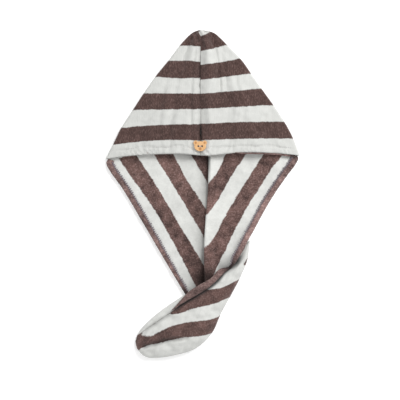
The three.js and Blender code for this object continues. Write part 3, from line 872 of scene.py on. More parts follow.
def tip_round(at: Array) -> Array:
    """How much of the crown's full height is left at a place: a quarter round over its last part."""
    share = np.clip((at - TIP_START) / TIP_LENGTH, 0, 1)
    return np.sqrt(1 - share**2)


def brim_wave(x: Array) -> Array:
    """How far the brim's edge lies above its straight line, in millimetres."""
    return -CROWN_DEPTH * BRIM_WAVE.get("drop", x / HALF)


@dataclass(frozen=True)
class Fold:
    """A soft fold or crease of the front layer, from a place near the tip down to the brim."""

    side: Side
    tip: float
    brim: float
    rise: float
    spread: float
    start: float = 0.0
    stop: float = 1.0
    fade: float = 0.12

    def height(self, at: Array, x: Array, seam: Array, edge: Array) -> Array:
        """How far it lifts the layer between its seam and edge: a bell about its line, faded at its ends."""
        line = mix(seam, edge, mix(self.brim, self.tip, at))
        window = ease((at - self.start) / self.fade + 1) * ease((self.stop - at) / self.fade + 1)
        return self.rise * bell(x - line, self.spread) * window


FOLDS = (
    Fold(Side.LEFT, 0.12, 0.07, 1.8, 6.0),
    Fold(Side.LEFT, 0.24, 0.085, -2.2, 4.0, 0.0, 0.95),
    Fold(Side.LEFT, 0.55, 0.33, -2.6, 7.0),
    Fold(Side.LEFT, 0.3, 0.62, 1.8, 16.0),
    Fold(Side.LEFT, 0.9, 0.4, -1.6, 5.0, 0.0, 0.55),
    Fold(Side.LEFT, 1.3, 0.6, -1.6, 6.0, 0.0, 0.4),
    Fold(Side.LEFT, 0.62, 0.52, -2.2, 4.5, 0.72, 1.0),
    Fold(Side.RIGHT, 0.25, 0.06, 2.8, 8.0),
    Fold(Side.RIGHT, 0.66, 0.24, -2.6, 8.0),
    Fold(Side.RIGHT, 0.45, 0.6, 1.6, 16.0),
    Fold(Side.RIGHT, 0.5, 0.12, -5.0, 4.6, 0.52, 1.0),
    Fold(Side.RIGHT, 0.62, 0.2, -2.4, 4.5, 0.28, 0.72),
    Fold(Side.RIGHT, 0.8, 0.4, -1.7, 5.0, 0.2, 0.8),
    Fold(Side.RIGHT, 1.2, 0.75, -1.4, 7.0, 0.0, 0.45),
)
# Soft waves of the front layer: their height, how they are stretched along, their length and seed
SOFT_WAVES = ((0.6, 0.45, 30, 11), (1.1, 0.4, 90, 21), (0.35, 0.7, 13, 15))
# Places of the back layer that lie deep under the crossing hem, where painted shade darkens the cloth
SHADED_HOLLOWS = {
    Side.LEFT: [Spot(-22, -278, 17.0, 0.6)],
    Side.RIGHT: [Spot(40, -232, 13.0, 0.55), Spot(10, -246, 15.0)],
}


@dataclass
class Half:
    """One sewn half: the pocket's front, its folded side, its back and the layer below the brim."""

    side: Side
    front_columns: int = 96
    fold_columns: int = 9
    back_columns: int = 84
    crown_rows: int = 124
    tip_rows: int = 22
    panel_rows: int = 140
    seam_gap: float = -0.4
    seam_dip: float = 4.0
    stitch_line: float = 14.2
    groove_depth: float = 2.0
    groove_width: float = 2.2
    pucker_length: float = 11.0
    pucker_reach: float = 11.0
    ruck_length: float = 8.5
    edge_drop: float = 2.0
    edge_round: float = 3.5
    ridge: float = 8.5
    throat_ridge: float = 5.0
    pillow: float = 5.0
    tuck: float = 11.5
    loose: float = 0.55

    @property
    def sign(self) -> int:
        """The sign of x on this side."""
        return self.side.value

    def edge_x(self, at: Array) -> Array:
        """Plan x of the folded side at a place up the crown."""
        return self.sign * HALF * CROWN.get("left" if self.side is Side.LEFT else "right", at)

    def seam_x(self, name: str, at: Array) -> Array:
        """Plan x of the front or back seam's edge at a place up the crown."""
        open_part = bell(at - 0.16, 0.07) if name == "front" else 0.0
        return HALF * SEAMS.get(name, at) + self.sign * (self.seam_gap / 2 + 1.0 * open_part)

    def seam_wall(self, out: Array) -> tuple[Array, Array]:
        """Splits the way across into its level part and, on the right, the seam's short upright wall."""
        if self.side is Side.LEFT:
            return out, 0.0 * out
        return np.clip(out / WALL_START, 0, 1), np.clip((out - WALL_START) / WALL_LENGTH, 0, 1)

    def front_height(self, at: Array, out: Array, x: Array) -> Array:
        """Height of the front layer: a sine from the fold to the seam, with its dip, folds and puckers.

        Args:
            at: place up the crown, from 0 at the brim to 1 at the tip.
            out: place across, from 0 at the fold to 1 at the seam.
            x: plan x of the same points.

        Returns:
            Heights above the table, in millimetres.
        """
        seam, edge = HALF * SEAMS.get("front", at), self.edge_x(at)
        loft = CROWN_LOFT * np.sin(math.pi / 2 * out) ** 1.2 * mix(1, 0.72, ease(at * 1.6))
        height = 2 * FOLD_RADIUS + loft - self.seam_dip * bell(x - seam, 0.045 * HALF) * mix(1, 1.25, at)
        folds = [fold.height(at, x, seam, edge) for fold in FOLDS if fold.side is self.side]
        y, line = CROWN_DEPTH * at, self.stitch_line
        soft = [rise * ripples(x, y * along, length, seed + self.sign) for rise, along, length, seed in SOFT_WAVES]
        pucker = np.sin(x * (2 * math.pi / self.pucker_length) + 1.5 * ripples(x, y, 45, 5))
        groove = line + 0.9 * ripples(x, 0 * x, 30, 6)
        below = ease((line + 2 - y) / 8) * ease(0.5 + 0.6 * ripples(x, 0 * x, 95, 7 + self.sign))
        rucks = np.sin((x + y * 0.8) * (2 * math.pi / self.ruck_length) + 2 * ripples(x, y, 60, 8))
        gather = 2.3 * np.sin(x * 0.5 + y * 0.13 + self.sign) + 1.3 * ripples(x, y, 14, 31 + self.sign)
        relief = (
            sum(soft)
            + 0.5 * pucker * bell(y - line, self.pucker_reach)
            - self.groove_depth * bell(y - groove, self.groove_width)
            + 1.1 * below * rucks
            + bell(at - 0.97, 0.09) * gather
            - self.edge_drop * np.clip(1 - y / self.edge_round, 0, 1) ** 2
        )
        height = height + np.minimum(1, out * 3) * sum(folds) + np.minimum(1, out * 6) * relief
        return mix(FOLD_RADIUS, height, tip_round(at))

    def stripes(self, y: Array, out: Array) -> Array:
        """The front layer's way across the stripes, in stripes: each edge's own rise is counted as one.

        Args:
            y: height above the brim's line.
            out: place across, from 0 at the fold to 1 at the seam.

        Returns:
            0 at the brim, 1 at the first stripe edge, and so on.
        """
        rows = np.array(FRONT_STRIPES[self.side], float)
        weights = np.stack(((1 - out) * (1 - 2 * out), 4 * out * (1 - out), out * (2 * out - 1)), -1)
        edges = weights @ rows.T
        low, high = edges[..., :-1], edges[..., 1:]
        return np.maximum(np.clip((y[..., None] - low) / (high - low), 0, 1).sum(-1), 0.14)

    def chevron(self, x: Array, y: Array) -> Array:
        """The back layer's way across the stripes, in stripes, at seen places."""
        return stripe_count(x, y, BACK_LINES[self.side], 1)

    def pocket(self) -> tuple[Array, Array]:
        """The pocket's sheet, from the front seam over the fold to the back seam.

        Each row is a straight run of the front layer, a half round at the fold and a straight run of
        the back layer. Rows go from the brim to the tip, closer together over the tip's round.

        Returns:
            Plan points and cloth coordinates, as row by column by coordinate.
        """
        low_rows = np.linspace(0, TIP_START, self.crown_rows, endpoint=False)
        tip_rows = TIP_START + TIP_LENGTH * np.sin(np.linspace(0, math.pi / 2, self.tip_rows))
        at = np.concatenate((low_rows, tip_rows))[:, None]
        shrink = tip_round(at)
        edge, seam, back = self.edge_x(at), self.seam_x("front", at), self.seam_x("back", at)
        room = np.minimum(FOLD_RADIUS * np.maximum(shrink, 0.05), 0.45 * np.abs(edge - seam))
        turn = edge - self.sign * room
        low = mix(FOLD_RADIUS, 0.0, shrink)
        out = np.linspace(1, 0, self.front_columns + 1)[None, :]
        front_x = mix(turn, seam, out)
        front_z = self.front_height(at, out, front_x)
        angle = math.pi * np.arange(1, self.fold_columns)[None, :] / self.fold_columns
        middle = (front_z[:, -1:] + low) / 2
        fold_x = turn + self.sign * room * np.sin(angle)
        fold_z = middle + (middle - low) * np.cos(angle)
        share = np.linspace(0, 1, self.back_columns + 1)[None, :]
        level, fall = self.seam_wall(share)
        back_x = mix(turn, back + SEAM_LAP * (self.side is Side.LEFT), level) + SEAM_LAP * fall
        right = self.side is Side.RIGHT
        stand = right * self.ridge * bell(at, 0.16) * bell(back_x - back, RIDGE_SPREAD)
        back_z = low + mix(stand, WALL_FOOT * shrink, fall)
        x = np.concatenate((front_x, fold_x, back_x), 1)
        z = np.concatenate((front_z, fold_z, back_z), 1)
        y = CROWN_DEPTH * at + brim_wave(x) * (1 - at) ** 3
        seen_x, seen_y = seen(x, y, z)
        front, rest = slice(0, out.size), slice(out.size, None)
        across = np.empty_like(x)
        across[:, front] = self.stripes(seen_y[:, front], np.broadcast_to(out, front_x.shape))
        inward = np.concatenate((np.zeros(self.fold_columns - 1), share[0]))[None, :]
        sewn = self.chevron(seen_x[:, rest], seen_y[:, rest])
        across[:, rest] = mix(across[:, out.size - 1 : out.size], sewn, ease(inward * 5))
        return np.stack((x, y, z), -1), cloth_places(x, across * STRIPE)

    def panel_height(self, at: Array, out: Array) -> Array:
        """Height of the back layer's underside: lifted at the hem, and over the throat on the far side."""
        lift = 3.5 * ease(at / 0.1) * bell(out, 0.22)
        if self.side is Side.LEFT:
            return lift
        rise = 0.46 * TAIL_THICKNESS * ease((at - 0.62) / 0.38)
        return lift + rise * (1 - ease(out / WALL_START))

    def panel_points(self, at: Array, out: Array) -> Array:
        """The back layer below the brim, on straight runs from the hem's rail to the seam's rail.

        Args:
            at: place down the rails, from 0 at the brim to 1 at the twist.
            out: place across, from 0 at the hem to 1 at the seam.

        Returns:
            Plan points, with x, y and z last.
        """
        left = self.side is Side.LEFT
        rail = LEFT_RAIL if left else RIGHT_RAIL
        corner = self.sign * FOLD_RADIUS * (1 - ease(at / 0.035))
        hem_x, hem_y = HALF * rail.get("x", at) - corner, -OPENING_DEPTH * rail.get("y", at)
        seam_x = HALF * SEAM_RAIL.get("x", at) + self.sign * self.seam_gap / 2
        seam_y = -OPENING_DEPTH * SEAM_RAIL.get("y", at)
        level, fall = self.seam_wall(out)
        x = mix(hem_x, seam_x + (SEAM_LAP if left else 0.6), level)
        tuck = 0.0 if left else self.tuck * np.sin(math.pi * out) * ease((at - 0.7) / 0.3)
        y = mix(hem_y, seam_y, level) + brim_wave(x) * (1 - ease(at / 0.12)) - tuck
        loose = self.loose * ease(at / 0.12) * ease(out * 5) * ease((1.02 - at) * 6)
        z = self.panel_height(at, level) + loose * np.maximum(ripples(x, y, 48, 41 + self.sign) + 0.5, 0)
        from_seam, inside = np.abs(x - seam_x), ease(out * 3)
        if left:
            pillow = (1 - bell(np.maximum(from_seam - 3.0, 0), 16.0)) * bell(from_seam - 20.0, 34.0) * inside
            pillow = pillow * self.pillow * (1 + 0.15 * ripples(x, y, 60, 52))
            z = z + pillow * ease(at / 0.08 + 0.2) * ease((1.08 - at) * 4)
        else:
            ridge = self.ridge + self.throat_ridge * ease((at - 0.5) / 0.4)
            stand = ridge * bell(from_seam, RIDGE_SPREAD) * inside * (1 + 0.08 * ripples(y, 0 * y, 40, 51))
            z = mix(np.maximum(z, stand), WALL_FOOT, ease(fall))
            x = x + SEAM_LAP * fall - 0.8 * np.sin(math.pi * fall)
        return np.stack(np.broadcast_arrays(x, y, z), -1)

    def painted_shade_at(self, at: Array, x: Array, y: Array) -> Array:
        """Painted shade of the back layer: under the crossing hem, at the right half's seam edge by the brim, in the
        fold left of the seam, down in the throat and under the brim.
        """
        beside = np.abs(x - HALF * SEAM_RAIL.get("x", at))
        throat = ease((at - 0.72) / 0.28)
        painted_shade = [hollow_shade.at(x, y) for hollow_shade in SHADED_HOLLOWS[self.side]]
        if self.side is Side.RIGHT:
            rim = 1.1 * bell(np.maximum(beside - 0.5, 0), 0.9) * bell(at, 0.14)
            return np.maximum.reduce([*painted_shade, rim, 0.5 * throat * bell(beside, 12.0)])
        under_brim = 0.74 * bell(y, 40.0) * bell(beside, 26.0)
        corner = 1.15 * bell(beside, 13.0) * bell(at, 0.15)
        fold = mix(0.54, 1.12, throat) * bell(np.maximum(beside - 4, 0), mix(17.0, 28.0, throat))
        return np.maximum.reduce([*painted_shade, under_brim, corner, fold])

    def build(self) -> bpy.types.Object:
        """Makes the half as one sheet with its thickness inwards."""
        surface = Surface()
        points, cloth = self.pocket()
        column = np.arange(points.shape[1])[None, :]
        coarse = ease((column - self.front_columns) / self.fold_columns)
        beside = np.abs(points[..., 0] - self.seam_x("front", points[:, :1, 1] / CROWN_DEPTH))
        # Painted shade of the front layer: a dark line along the front seam, strongest a little above the brim, with
        # a faint shade beside it
        line = 0.95 * bell(beside, 1.9) * bell(points[..., 1] - 46, 17.0) + 0.22 * bell(beside, 4.0)
        painted_shade = np.where(column <= self.front_columns, line, 0.0)
        numbers = surface.add(framed(points), cloth, coarse, painted_shade)
        surface.join(quads(numbers))
        at = np.linspace(0, PANEL_END, self.panel_rows + 1)[1:, None]
        x, y, z = np.moveaxis(self.panel_points(at, np.linspace(0, 1, self.back_columns + 1)[None, :]), -1, 0)
        cloth = cloth_places(x * -self.sign * 0.5 - y * 0.86, self.chevron(*seen(x, y, z)) * STRIPE)
        lower = surface.add(to_frame(x, y, z), cloth, 1.0, self.painted_shade_at(at, x, y))
        brim = numbers[:1, -(self.back_columns + 1) :]
        surface.join(quads(np.vstack((lower[::-1], brim))))
        piece = surface.piece(f"{self.side.name.lower()}_cloth", flip=self.side is Side.LEFT)
        places = np.linspace(0, 1, 50)
        thin = np.minimum(1, 1.6 * tip_round(places))
        shares = np.interp((points[:, 0, 1] / CROWN_DEPTH).clip(0, 1), places, thin).clip(0.03)
        thicken(piece, [*zip(numbers, shares), (lower, 1.0)], CLOTH)
        return piece


# ---- The tail


# Soft creases of the tail's upper side: their line, depth and width
TAIL_CREASES = (
    (curve((3, -296), (5, -318), (-3, -342)), 2.4, 6.0),
    (curve((60, -232), (40, -262), (18, -300)), 1.8, 7.0),
    (curve((-44, -312), (-70, -338), (-92, -362)), 1.6, 8.0),
)
# The small dark sliver of a stripe at the throat's side
SLIVER = curve((96, -206), (91.5, -214), (86, -222.5))
# The hollow beside the crease where the hem turns over, by depth in millimetres
TURN_HOLLOW = Spot(66, -219, 9.0, 15.0)
DIAGONAL = 0.7071


@dataclass
class Tail:
    """The rolled tail: one sheet from the crease over the top and back below, with its end tucked in."""

    rows: int = 176
    columns: int = 190
    wall: float = 2.6
    crease_end: float = 0.6
    belly: float = 0.36
    top_power: float = 0.82
    base_power: float = 0.3
    lip_dip: float = 0.2
    tip_lift: float = 2.75

    def shell(self, at: Array, angle: Array, lip: Array | None = None) -> Array:
        """Points of the roll's outer face.

        Each section is a flattened round between an inner and an outer place on the plan. The angle
        is 0 at the inner side, 90 on top and 180 at the outer side. Its top is a sine raised to 0.82
        and its base one raised to 0.3, so it lies flat.

        Args:
            at: place along the tail, from 0 at the throat to 1 at the tip.
            angle: place round the section, in degrees.
            lip: the angle of the crease, where the top dips.

        Returns:
            Plan points, with x, y and z last.
        """
        turn = np.radians(angle)
        share, rise = (1 - np.cos(turn)) / 2, np.sin(turn)
        x = HALF * mix(TAIL.get("inX", at), TAIL.get("outX", at), share)
        y = -(OPENING_DEPTH + TAIL_DROP) * mix(TAIL.get("inY", at), TAIL.get("outY", at), share)
        height = TAIL_THICKNESS * TAIL.get("high", at)
        belly, low = self.belly * height, self.tip_lift * ease((at - 0.68) / 0.1)
        top = belly + (height - belly) * np.abs(rise) ** self.top_power
        base = belly - (belly - low) * np.abs(rise) ** self.base_power
        away = (angle - (TAIL.get("edge", at) if lip is None else lip) + 540) % 360 - 180
        dip = self.lip_dip * height * bell(away, 34.0) * np.maximum(0, rise)
        return np.stack(np.broadcast_arrays(x, y, np.where(rise >= 0, top - dip, base)), -1)

    def lip(self, at: Array) -> Array:
        """Angle of the roll's free edge: where its outer face is seen on the hem's crease line."""
        places = np.linspace(0, 1, 81)
        angles = np.linspace(6.0, 140.0, 135)
        points = self.shell(places[:, None], angles[None, :])
        away = side_of(*seen(*np.moveaxis(points, -1, 0)), TAIL_LINES[0])
        found = angles[np.argmax(away > 0, axis=1)]
        found = np.where((places < 0.8) & (away[:, 0] < 0), found, 40.0)
        return np.interp(at, places, np.clip(smoothed(found, 4), 16, 100))

    def stripes(self, x: Array, y: Array) -> Array:
        """The way across the stripes at seen places, with the small dark sliver at the throat's side."""
        count = np.clip(stripe_count(x, y, TAIL_LINES, 0), 0.12, 4.8)
        spot = ease((3.4 - np.abs(side_of(x, y, SLIVER))) / 2.2) * (side_of(x, y, TAIL_LINES[1]) < -6)
        return mix(count, 1.5, spot)

    def relief(self, x: Array, y: Array, at: Array) -> Array:
        """Creases and soft folds of the upper side, in millimetres."""
        from_crease = side_of(x, y, TAIL_LINES[0])
        groove = 6.0 * bell(side_of(x, y, LOWER_FOLD), 4.0) * ease((-22 - x) / 30)
        soft = sum(depth * bell(side_of(x, y, line), width) for line, depth, width in TAIL_CREASES)
        crevice = 5.5 * bell(from_crease, 3.4) * ease((self.crease_end + 0.04 - at) * 12)
        crevice = crevice * (1 - 0.7 * ease((y + 212) / 18))
        crevice = crevice + TURN_HOLLOW.at(x, y) * ease((11 - from_crease) / 7)
        roll = 1.2 * np.sin(from_crease / 6.5 + 1.2) * ease((0.5 - at) * 3)
        waves = 1.0 * ripples(x, y, 36, 61) + 0.6 * ripples(x, y, 17, 62)
        return waves + roll - groove - soft - crevice

    def painted_shade_at(self, x: Array, y: Array, at: Array) -> Array:
        """Painted shade of the roll at seen places: along its crease and its lower fold, and darkest where the hem
        turns over.
        """
        from_crease = side_of(x, y, TAIL_LINES[0])
        crease = mix(0.4, 1.12, ease((self.crease_end - at) * 12)) * bell(from_crease - 1, 4.0)
        crease = crease * (1 - 0.9 * ease((y + 216) / 20))
        along, beside = (x + y + 154) * DIAGONAL, (x - y - 282) * DIAGONAL
        hollow_shade = MOST_PAINTED_SHADE * bell(along, 21.0) * bell(beside - 2.5, 7.0)
        lower = 0.55 * bell(side_of(x, y, LOWER_FOLD), 3.6) * ease((-22 - x) / 30)
        return np.maximum(np.maximum(crease, lower), hollow_shade) * ease((0.97 - at) * 20)

    def build(self) -> bpy.types.Object:
        """Makes the tail as one sheet with its thickness inwards and a rounded tip."""
        even = np.linspace(0, 1, self.rows)
        at = np.sin(np.linspace(0, math.pi / 2, self.rows)) ** 1.05
        at = np.minimum(mix(even, at, 0.75), 1.0)[:, None]
        lip = self.lip(at)
        end = mix(TAIL.get("end", at), 360 + lip + 26, ease((at - 0.22) / 0.2))
        angle = mix(end, lip, np.linspace(0, 1, self.columns + 1)[None, :])
        x, y, z = np.moveaxis(self.shell(at, angle, lip), -1, 0)
        inset = (self.wall + 1.2) * ease((angle - 350) / 42) * ease((1 - at) * 14)
        run = (self.shell(at, 180.0 + 0 * at) - self.shell(at, 0.0 * at))[..., :2]
        run = run / np.linalg.norm(run, axis=-1, keepdims=True)
        cos, sin = np.cos(np.radians(angle)), np.sin(np.radians(angle))
        x, y, z = x + inset * cos * run[..., 0], y + inset * cos * run[..., 1], z - inset * sin
        upper = ease(sin * 2.5) * ease((1 - at) * 12)
        z = np.maximum(z + upper * self.relief(*seen(x, y, z), at), 0.0)
        seen_places = seen(x, y, z)
        count = self.stripes(*seen_places)
        surface = Surface()
        cloth = cloth_places(0.93 * x - 0.36 * y, count * STRIPE)
        numbers = surface.add(to_frame(x, y, z), cloth, 0.55, self.painted_shade_at(*seen_places, at))
        surface.join(quads(numbers))
        middle = [part[-1:].mean(1, keepdims=True) for part in (x, y, z)]
        tip = surface.add(to_frame(*middle), cloth_places(-120.0, count[-1].mean() * STRIPE))
        last = numbers[-1]
        surface.join(np.stack((last[:-1], last[1:], np.full(self.columns, tip[0, 0])), -1))
        piece = surface.piece("tail_cloth")
        room = np.minimum(1, TAIL.get("high", at[:, 0]) * 1.7)
        shares = room * np.minimum(1, 0.15 + 8 * (1 - at[:, 0]))
        thicken(piece, [*zip(numbers, shares), (tip, 0.05)], self.wall)
        return piece


# ---- Hems and stitching

# Sections of a folded hem: distance in from the folded edge, and height above the cloth's underside
TURNED_SECTION = np.array((
    (1.2, 0.15), (-0.3, 0.5), (-1.0, 1.5), (-1.2, 3.0), (-0.8, 4.5), (0.5, 5.8), (2.6, 6.5), (5.5, 6.6),
    (8.5, 6.4), (10.6, 6.0), (12.0, 5.3), (12.5, 4.2), (12.1, 3.2), (9.0, 2.9), (5.0, 2.9), (1.6, 2.9),
    (0.6, 2.2), (0.5, 1.0),
))
ROLLED_SECTION = np.array((
    (0.3, 1.6), (-0.8, 2.2), (-1.4, 3.2), (-1.5, 4.2), (-1.1, 5.4), (0.2, 6.4), (2.4, 7.1), (5.2, 7.4),
    (8.0, 7.2), (10.2, 6.6), (11.4, 5.7), (11.9, 4.6), (11.4, 3.5), (9.0, 2.6), (6.0, 2.0), (3.6, 1.6),
    (2.0, 1.4), (1.0, 1.4),
))
# The overlocking thread's course over a raw edge: place in one stitch, way in and way up, for six places
OVERLOCK = np.array((
    (0.0, -1.8, 0.9), (0.2, 0.4, 0.2), (0.34, 2.7, -1.5), (0.46, 3.4, -1.9), (0.6, 2.2, -1.4), (0.8, 0.0, 0.3),
))
# Where the raw edge is among a section's corners
RAW_CORNER = 11
# Where the far hem goes over the tail's lip, and where it goes down the throat after it
CROSSING = Spot(54, -226, 15.0)
BELOW_CROSSING = Spot(20, -248, 20.0)


def rough(points: Array, amount: float, seed: int) -> Array:
    """Moves points by seeded noise of a millimetre's part, as the tips of the pile do."""
    return points + np.random.default_rng(seed).normal(0.0, amount, points.shape)


@dataclass
class Hem:
    """A hem that is folded in along an edge of the back layer, with its overlocked raw edge."""

    half: Half
    start: float = 0.004
    step: float = 1.6
    stitch: float = 4.3
    thread: float = 0.62
    sewn: float = 1.0
    # Painted shade of the band: a spot, darkest at its middle, where the band lies in the throat under the crossing,
    # and how much its far part is painted darker
    hollow_shade: Spot = Spot(-34, -279, 13.0, 0.9)
    shaded: float = 0.0

    def edge(self) -> Array:
        """The folded edge of the cloth, as plan points at even distances."""
        at = np.linspace(self.start, 1, 240)
        return stepped_path(self.half.panel_points(at, np.zeros_like(at)), self.step)

    def route(self) -> tuple[Array, Array, Array]:
        """The hem's path, its inward directions and its section at each point."""
        path = self.edge()
        share = np.linspace(0, 1, len(path))[:, None, None]
        full = np.minimum(1, np.minimum(share, 1 - share) * 30 + 0.3)
        narrow = 0.82 + 0.18 * np.exp(-share * 9) - 0.26 * ease((share - 0.35) / 0.65)
        return path, -self.half.sign * level_sides(path), self.fitted(TURNED_SECTION[None], narrow, full)

    @staticmethod
    def fitted(section: Array, narrow: Array, full: Array) -> Array:
        """A section with its width and its height about the middle times a factor at each point."""
        high = HEM_MIDDLE + (section[..., 1:] - HEM_MIDDLE) * full
        return np.concatenate((section[..., :1] * narrow, high), -1)

    def build(self, name: str) -> bpy.types.Object:
        """Makes the folded band: its section is carried along the cloth's edge."""
        path, inward, section = self.route()
        rings = rough(sweep(path, inward, UP, section), 0.16, 71 + self.half.sign)
        x, y, z = np.moveaxis(rings, -1, 0)
        swell = 0.5 * ripples(x, y, 14, 73) * (z > path[:, None, 2] + 4)
        rings[..., 2] = np.maximum(z + swell, 0.02)
        way = np.arange(len(path))[:, None] * self.step
        # Painted shade of the band, about its hollow and on its far part, goes in as the cloth's painted shade
        # values
        rolled = self.shaded * ease((np.linspace(0, 1, len(path))[:, None] - 0.54) / 0.1)
        surface = Surface()
        cloth = cloth_places(way, np.linspace(0, 34, section.shape[1])[None, :])
        surface.tube(framed(rings), cloth, np.maximum(self.hollow_shade.at(x, y), rolled))
        return surface.piece(name, flip=self.half.side is Side.RIGHT)

    def overlock(self, name: str) -> bpy.types.Object:
        """Makes the thread over the raw edge: one path that runs in, over the edge and back for each stitch."""
        path, inward, section = self.route()
        way = np.arange(len(path)) * self.step
        count = int((way[-1] * self.sewn - 10) / self.stitch)
        rng = np.random.default_rng(81 + self.half.sign)
        at = (5 + (np.arange(count)[:, None] + OVERLOCK[None, :, 0]) * self.stitch).ravel()
        reach = np.repeat(rng.uniform(0.55, 1.25, count), len(OVERLOCK))
        offset = np.tile(OVERLOCK[:, 1:], (count, 1)) * reach[:, None]

        def there(rows: Array) -> Array:
            """Rows of the hem's points at the thread's own places along it."""
            return np.stack([np.interp(at, way, column) for column in rows.T], -1)

        raw = there(section[:, RAW_CORNER])
        line = there(path) + there(inward) * (raw[:, :1] + offset[:, :1])
        line[:, 2] += raw[:, 1] + 1.7 + offset[:, 1] * 1.1
        return tube_piece(name, even_path(line, len(line) * 2), self.thread, 5)


def tube_piece(name: str, path: Array, radius: float, sides: int) -> bpy.types.Object:
    """A round thread along a path.

    Args:
        name: the piece's name.
        path: plan points, one row each.
        radius: the thread's radius, in millimetres.
        sides: how many faces go round it.

    Returns:
        The piece.
    """
    run = np.gradient(path, axis=0)
    run /= np.maximum(np.linalg.norm(run, axis=1, keepdims=True), 1e-9)
    across = np.cross(run, UP)
    size = np.linalg.norm(across, axis=1, keepdims=True)
    across = np.where(size > 0.05, across / np.maximum(size, 1e-9), (1.0, 0.0, 0.0))
    surface = Surface()
    surface.cord(path, across, np.cross(across, run), radius * circle(sides))
    return surface.piece(name)


@dataclass
class FarHem(Hem):
    """The hem on the right edge, which crosses over the throat and runs on along the tail's crease."""

    tail: Tail = field(default_factory=Tail)
    sewn: float = 0.66
    # Painted shade of the band: darkest over the crevice where it goes over the tail's lip, and darker along its far
    # part
    hollow_shade: Spot = Spot(55, -223, 20.0, 1.2)
    shaded: float = 0.36
    lip_from: float = 0.05
    lip_to: float = 0.6
    lip_points: int = 60

    def route(self) -> tuple[Array, Array, Array]:
        """The hem's path over the cloth's edge and the tail's lip, with its narrowing section."""
        at = np.linspace(self.lip_from, self.lip_to, self.lip_points)
        angle = self.tail.lip(at)
        lip = self.tail.shell(at, angle, angle)
        lip[:, 2] -= HEM_MIDDLE
        lip -= level_sides(lip) * np.linspace(1.2, 1.8, self.lip_points)[:, None]
        path = smoothed(stepped_path(np.vstack((self.edge()[:-6], lip)), self.step), 6)
        inward = -level_sides(path)
        crossing = CROSSING.at(path[:, 0], path[:, 1])[:, None]
        path = path - inward * 3.2 * crossing
        below = BELOW_CROSSING.at(path[:, 0], path[:, 1])[:, None, None]
        share = np.linspace(0, 1, len(path))[:, None, None]
        roll = ease((share - 0.58) / 0.12)
        narrow = mix(0.86, 1.16, roll) + 0.14 * np.exp(-share * 9)
        narrow = narrow * (1 - 0.86 * ease((share - 0.86) / 0.14))
        narrow = narrow * (1 - 0.6 * crossing[..., None]) * (1 - 0.3 * below)
        full = np.minimum(1, share * 30 + 0.3) * (1 - 0.6 * ease((share - 0.9) / 0.1))
        return path, inward, self.fitted(mix(TURNED_SECTION[None], ROLLED_SECTION[None], roll), narrow, full)


# Section of the brim's turned edge: distance above the brim's line, and height against the front layer
BRIM_SECTION = np.array((
    (0.4, -1.3), (-0.5, -1.9), (-0.9, -3.0), (-0.7, -4.3), (0.4, -5.4), (3.0, -6.2), (7.5, -7.0), (11.6, -7.6),
    (13.0, -7.2), (13.2, -6.5), (12.4, -5.8), (8.0, -4.2), (3.5, -3.2), (1.4, -3.0), (0.7, -2.2),
))


@dataclass
class BrimEdge:
    """The brim's turned edge inside the pocket and the row of stitches that holds it."""

    halves: dict[Side, Half]
    reach: float = 0.955
    sewn: float = 0.93
    pitch: float = 4.2
    stitch: float = 3.0
    thread: float = 0.42
    button_gap: tuple[float, float] = (-22.0, 12.0)

    def height(self, x: Array, y: float) -> Array:
        """Height of the front layer at a distance above the brim's line."""
        at = np.full_like(x, max(y, 0.0) / CROWN_DEPTH)
        seam = HALF * SEAMS.get("front", at)
        both = []
        for side in Side:
            half = self.halves[side]
            turn = half.edge_x(at) - side.value * FOLD_RADIUS
            both.append(half.front_height(at, np.clip((x - turn) / (seam - turn), 0, 1), x))
        return np.where(x < seam, *both)

    def band(self) -> bpy.types.Object:
        """Makes the turned band: a flat section carried along under the brim, which peeks out on the right."""
        x = np.linspace(-self.reach * HALF, self.reach * HALF, 230)
        edge = np.stack((x, brim_wave(x), self.height(x, 6.0)), -1)
        peek = (mix(3.4, -2.2, ease((x - 50) / 34)) - 1.4 * ease((x - 150) / 30))[:, None, None]
        sections = BRIM_SECTION + peek * (1.0, 0.0)
        surface = Surface()
        cloth = cloth_places(x[:, None], np.linspace(0, 32, len(BRIM_SECTION))[None, :])
        surface.tube(framed(rough(sweep(edge, TO_CROWN, UP, sections), 0.12, 91)), cloth)
        return surface.piece("brim_hem_band")

    def stitches(self) -> bpy.types.Object:
        """Makes the row of stitches: short rounded threads that dip into the cloth at both ends."""
        count = int(2 * self.sewn * HALF / self.pitch)
        start = -self.sewn * HALF + self.pitch * np.arange(count)
        start = start[(start < self.button_gap[0]) | (start > self.button_gap[1])]
        share = np.linspace(0, 1, 6)[None, :]
        x = start[:, None] + self.stitch * share
        line = self.halves[Side.LEFT].stitch_line
        y = line + brim_wave(x) * 0.8
        z = self.height(x.ravel(), line).reshape(x.shape) - 0.75 + 1.0 * np.sin(math.pi * share)
        size = self.thread * np.sqrt(np.clip(1 - (2 * share - 1) ** 4, 0.1, 1))[..., None]
        aside, over = circle(6).T
        surface = Surface()
        for ring in to_frame(x[..., None], y[..., None] + size * aside, z[..., None] + size * over):
            surface.tube(ring)
        return surface.piece("brim_stitches")


# ---- Button and loop


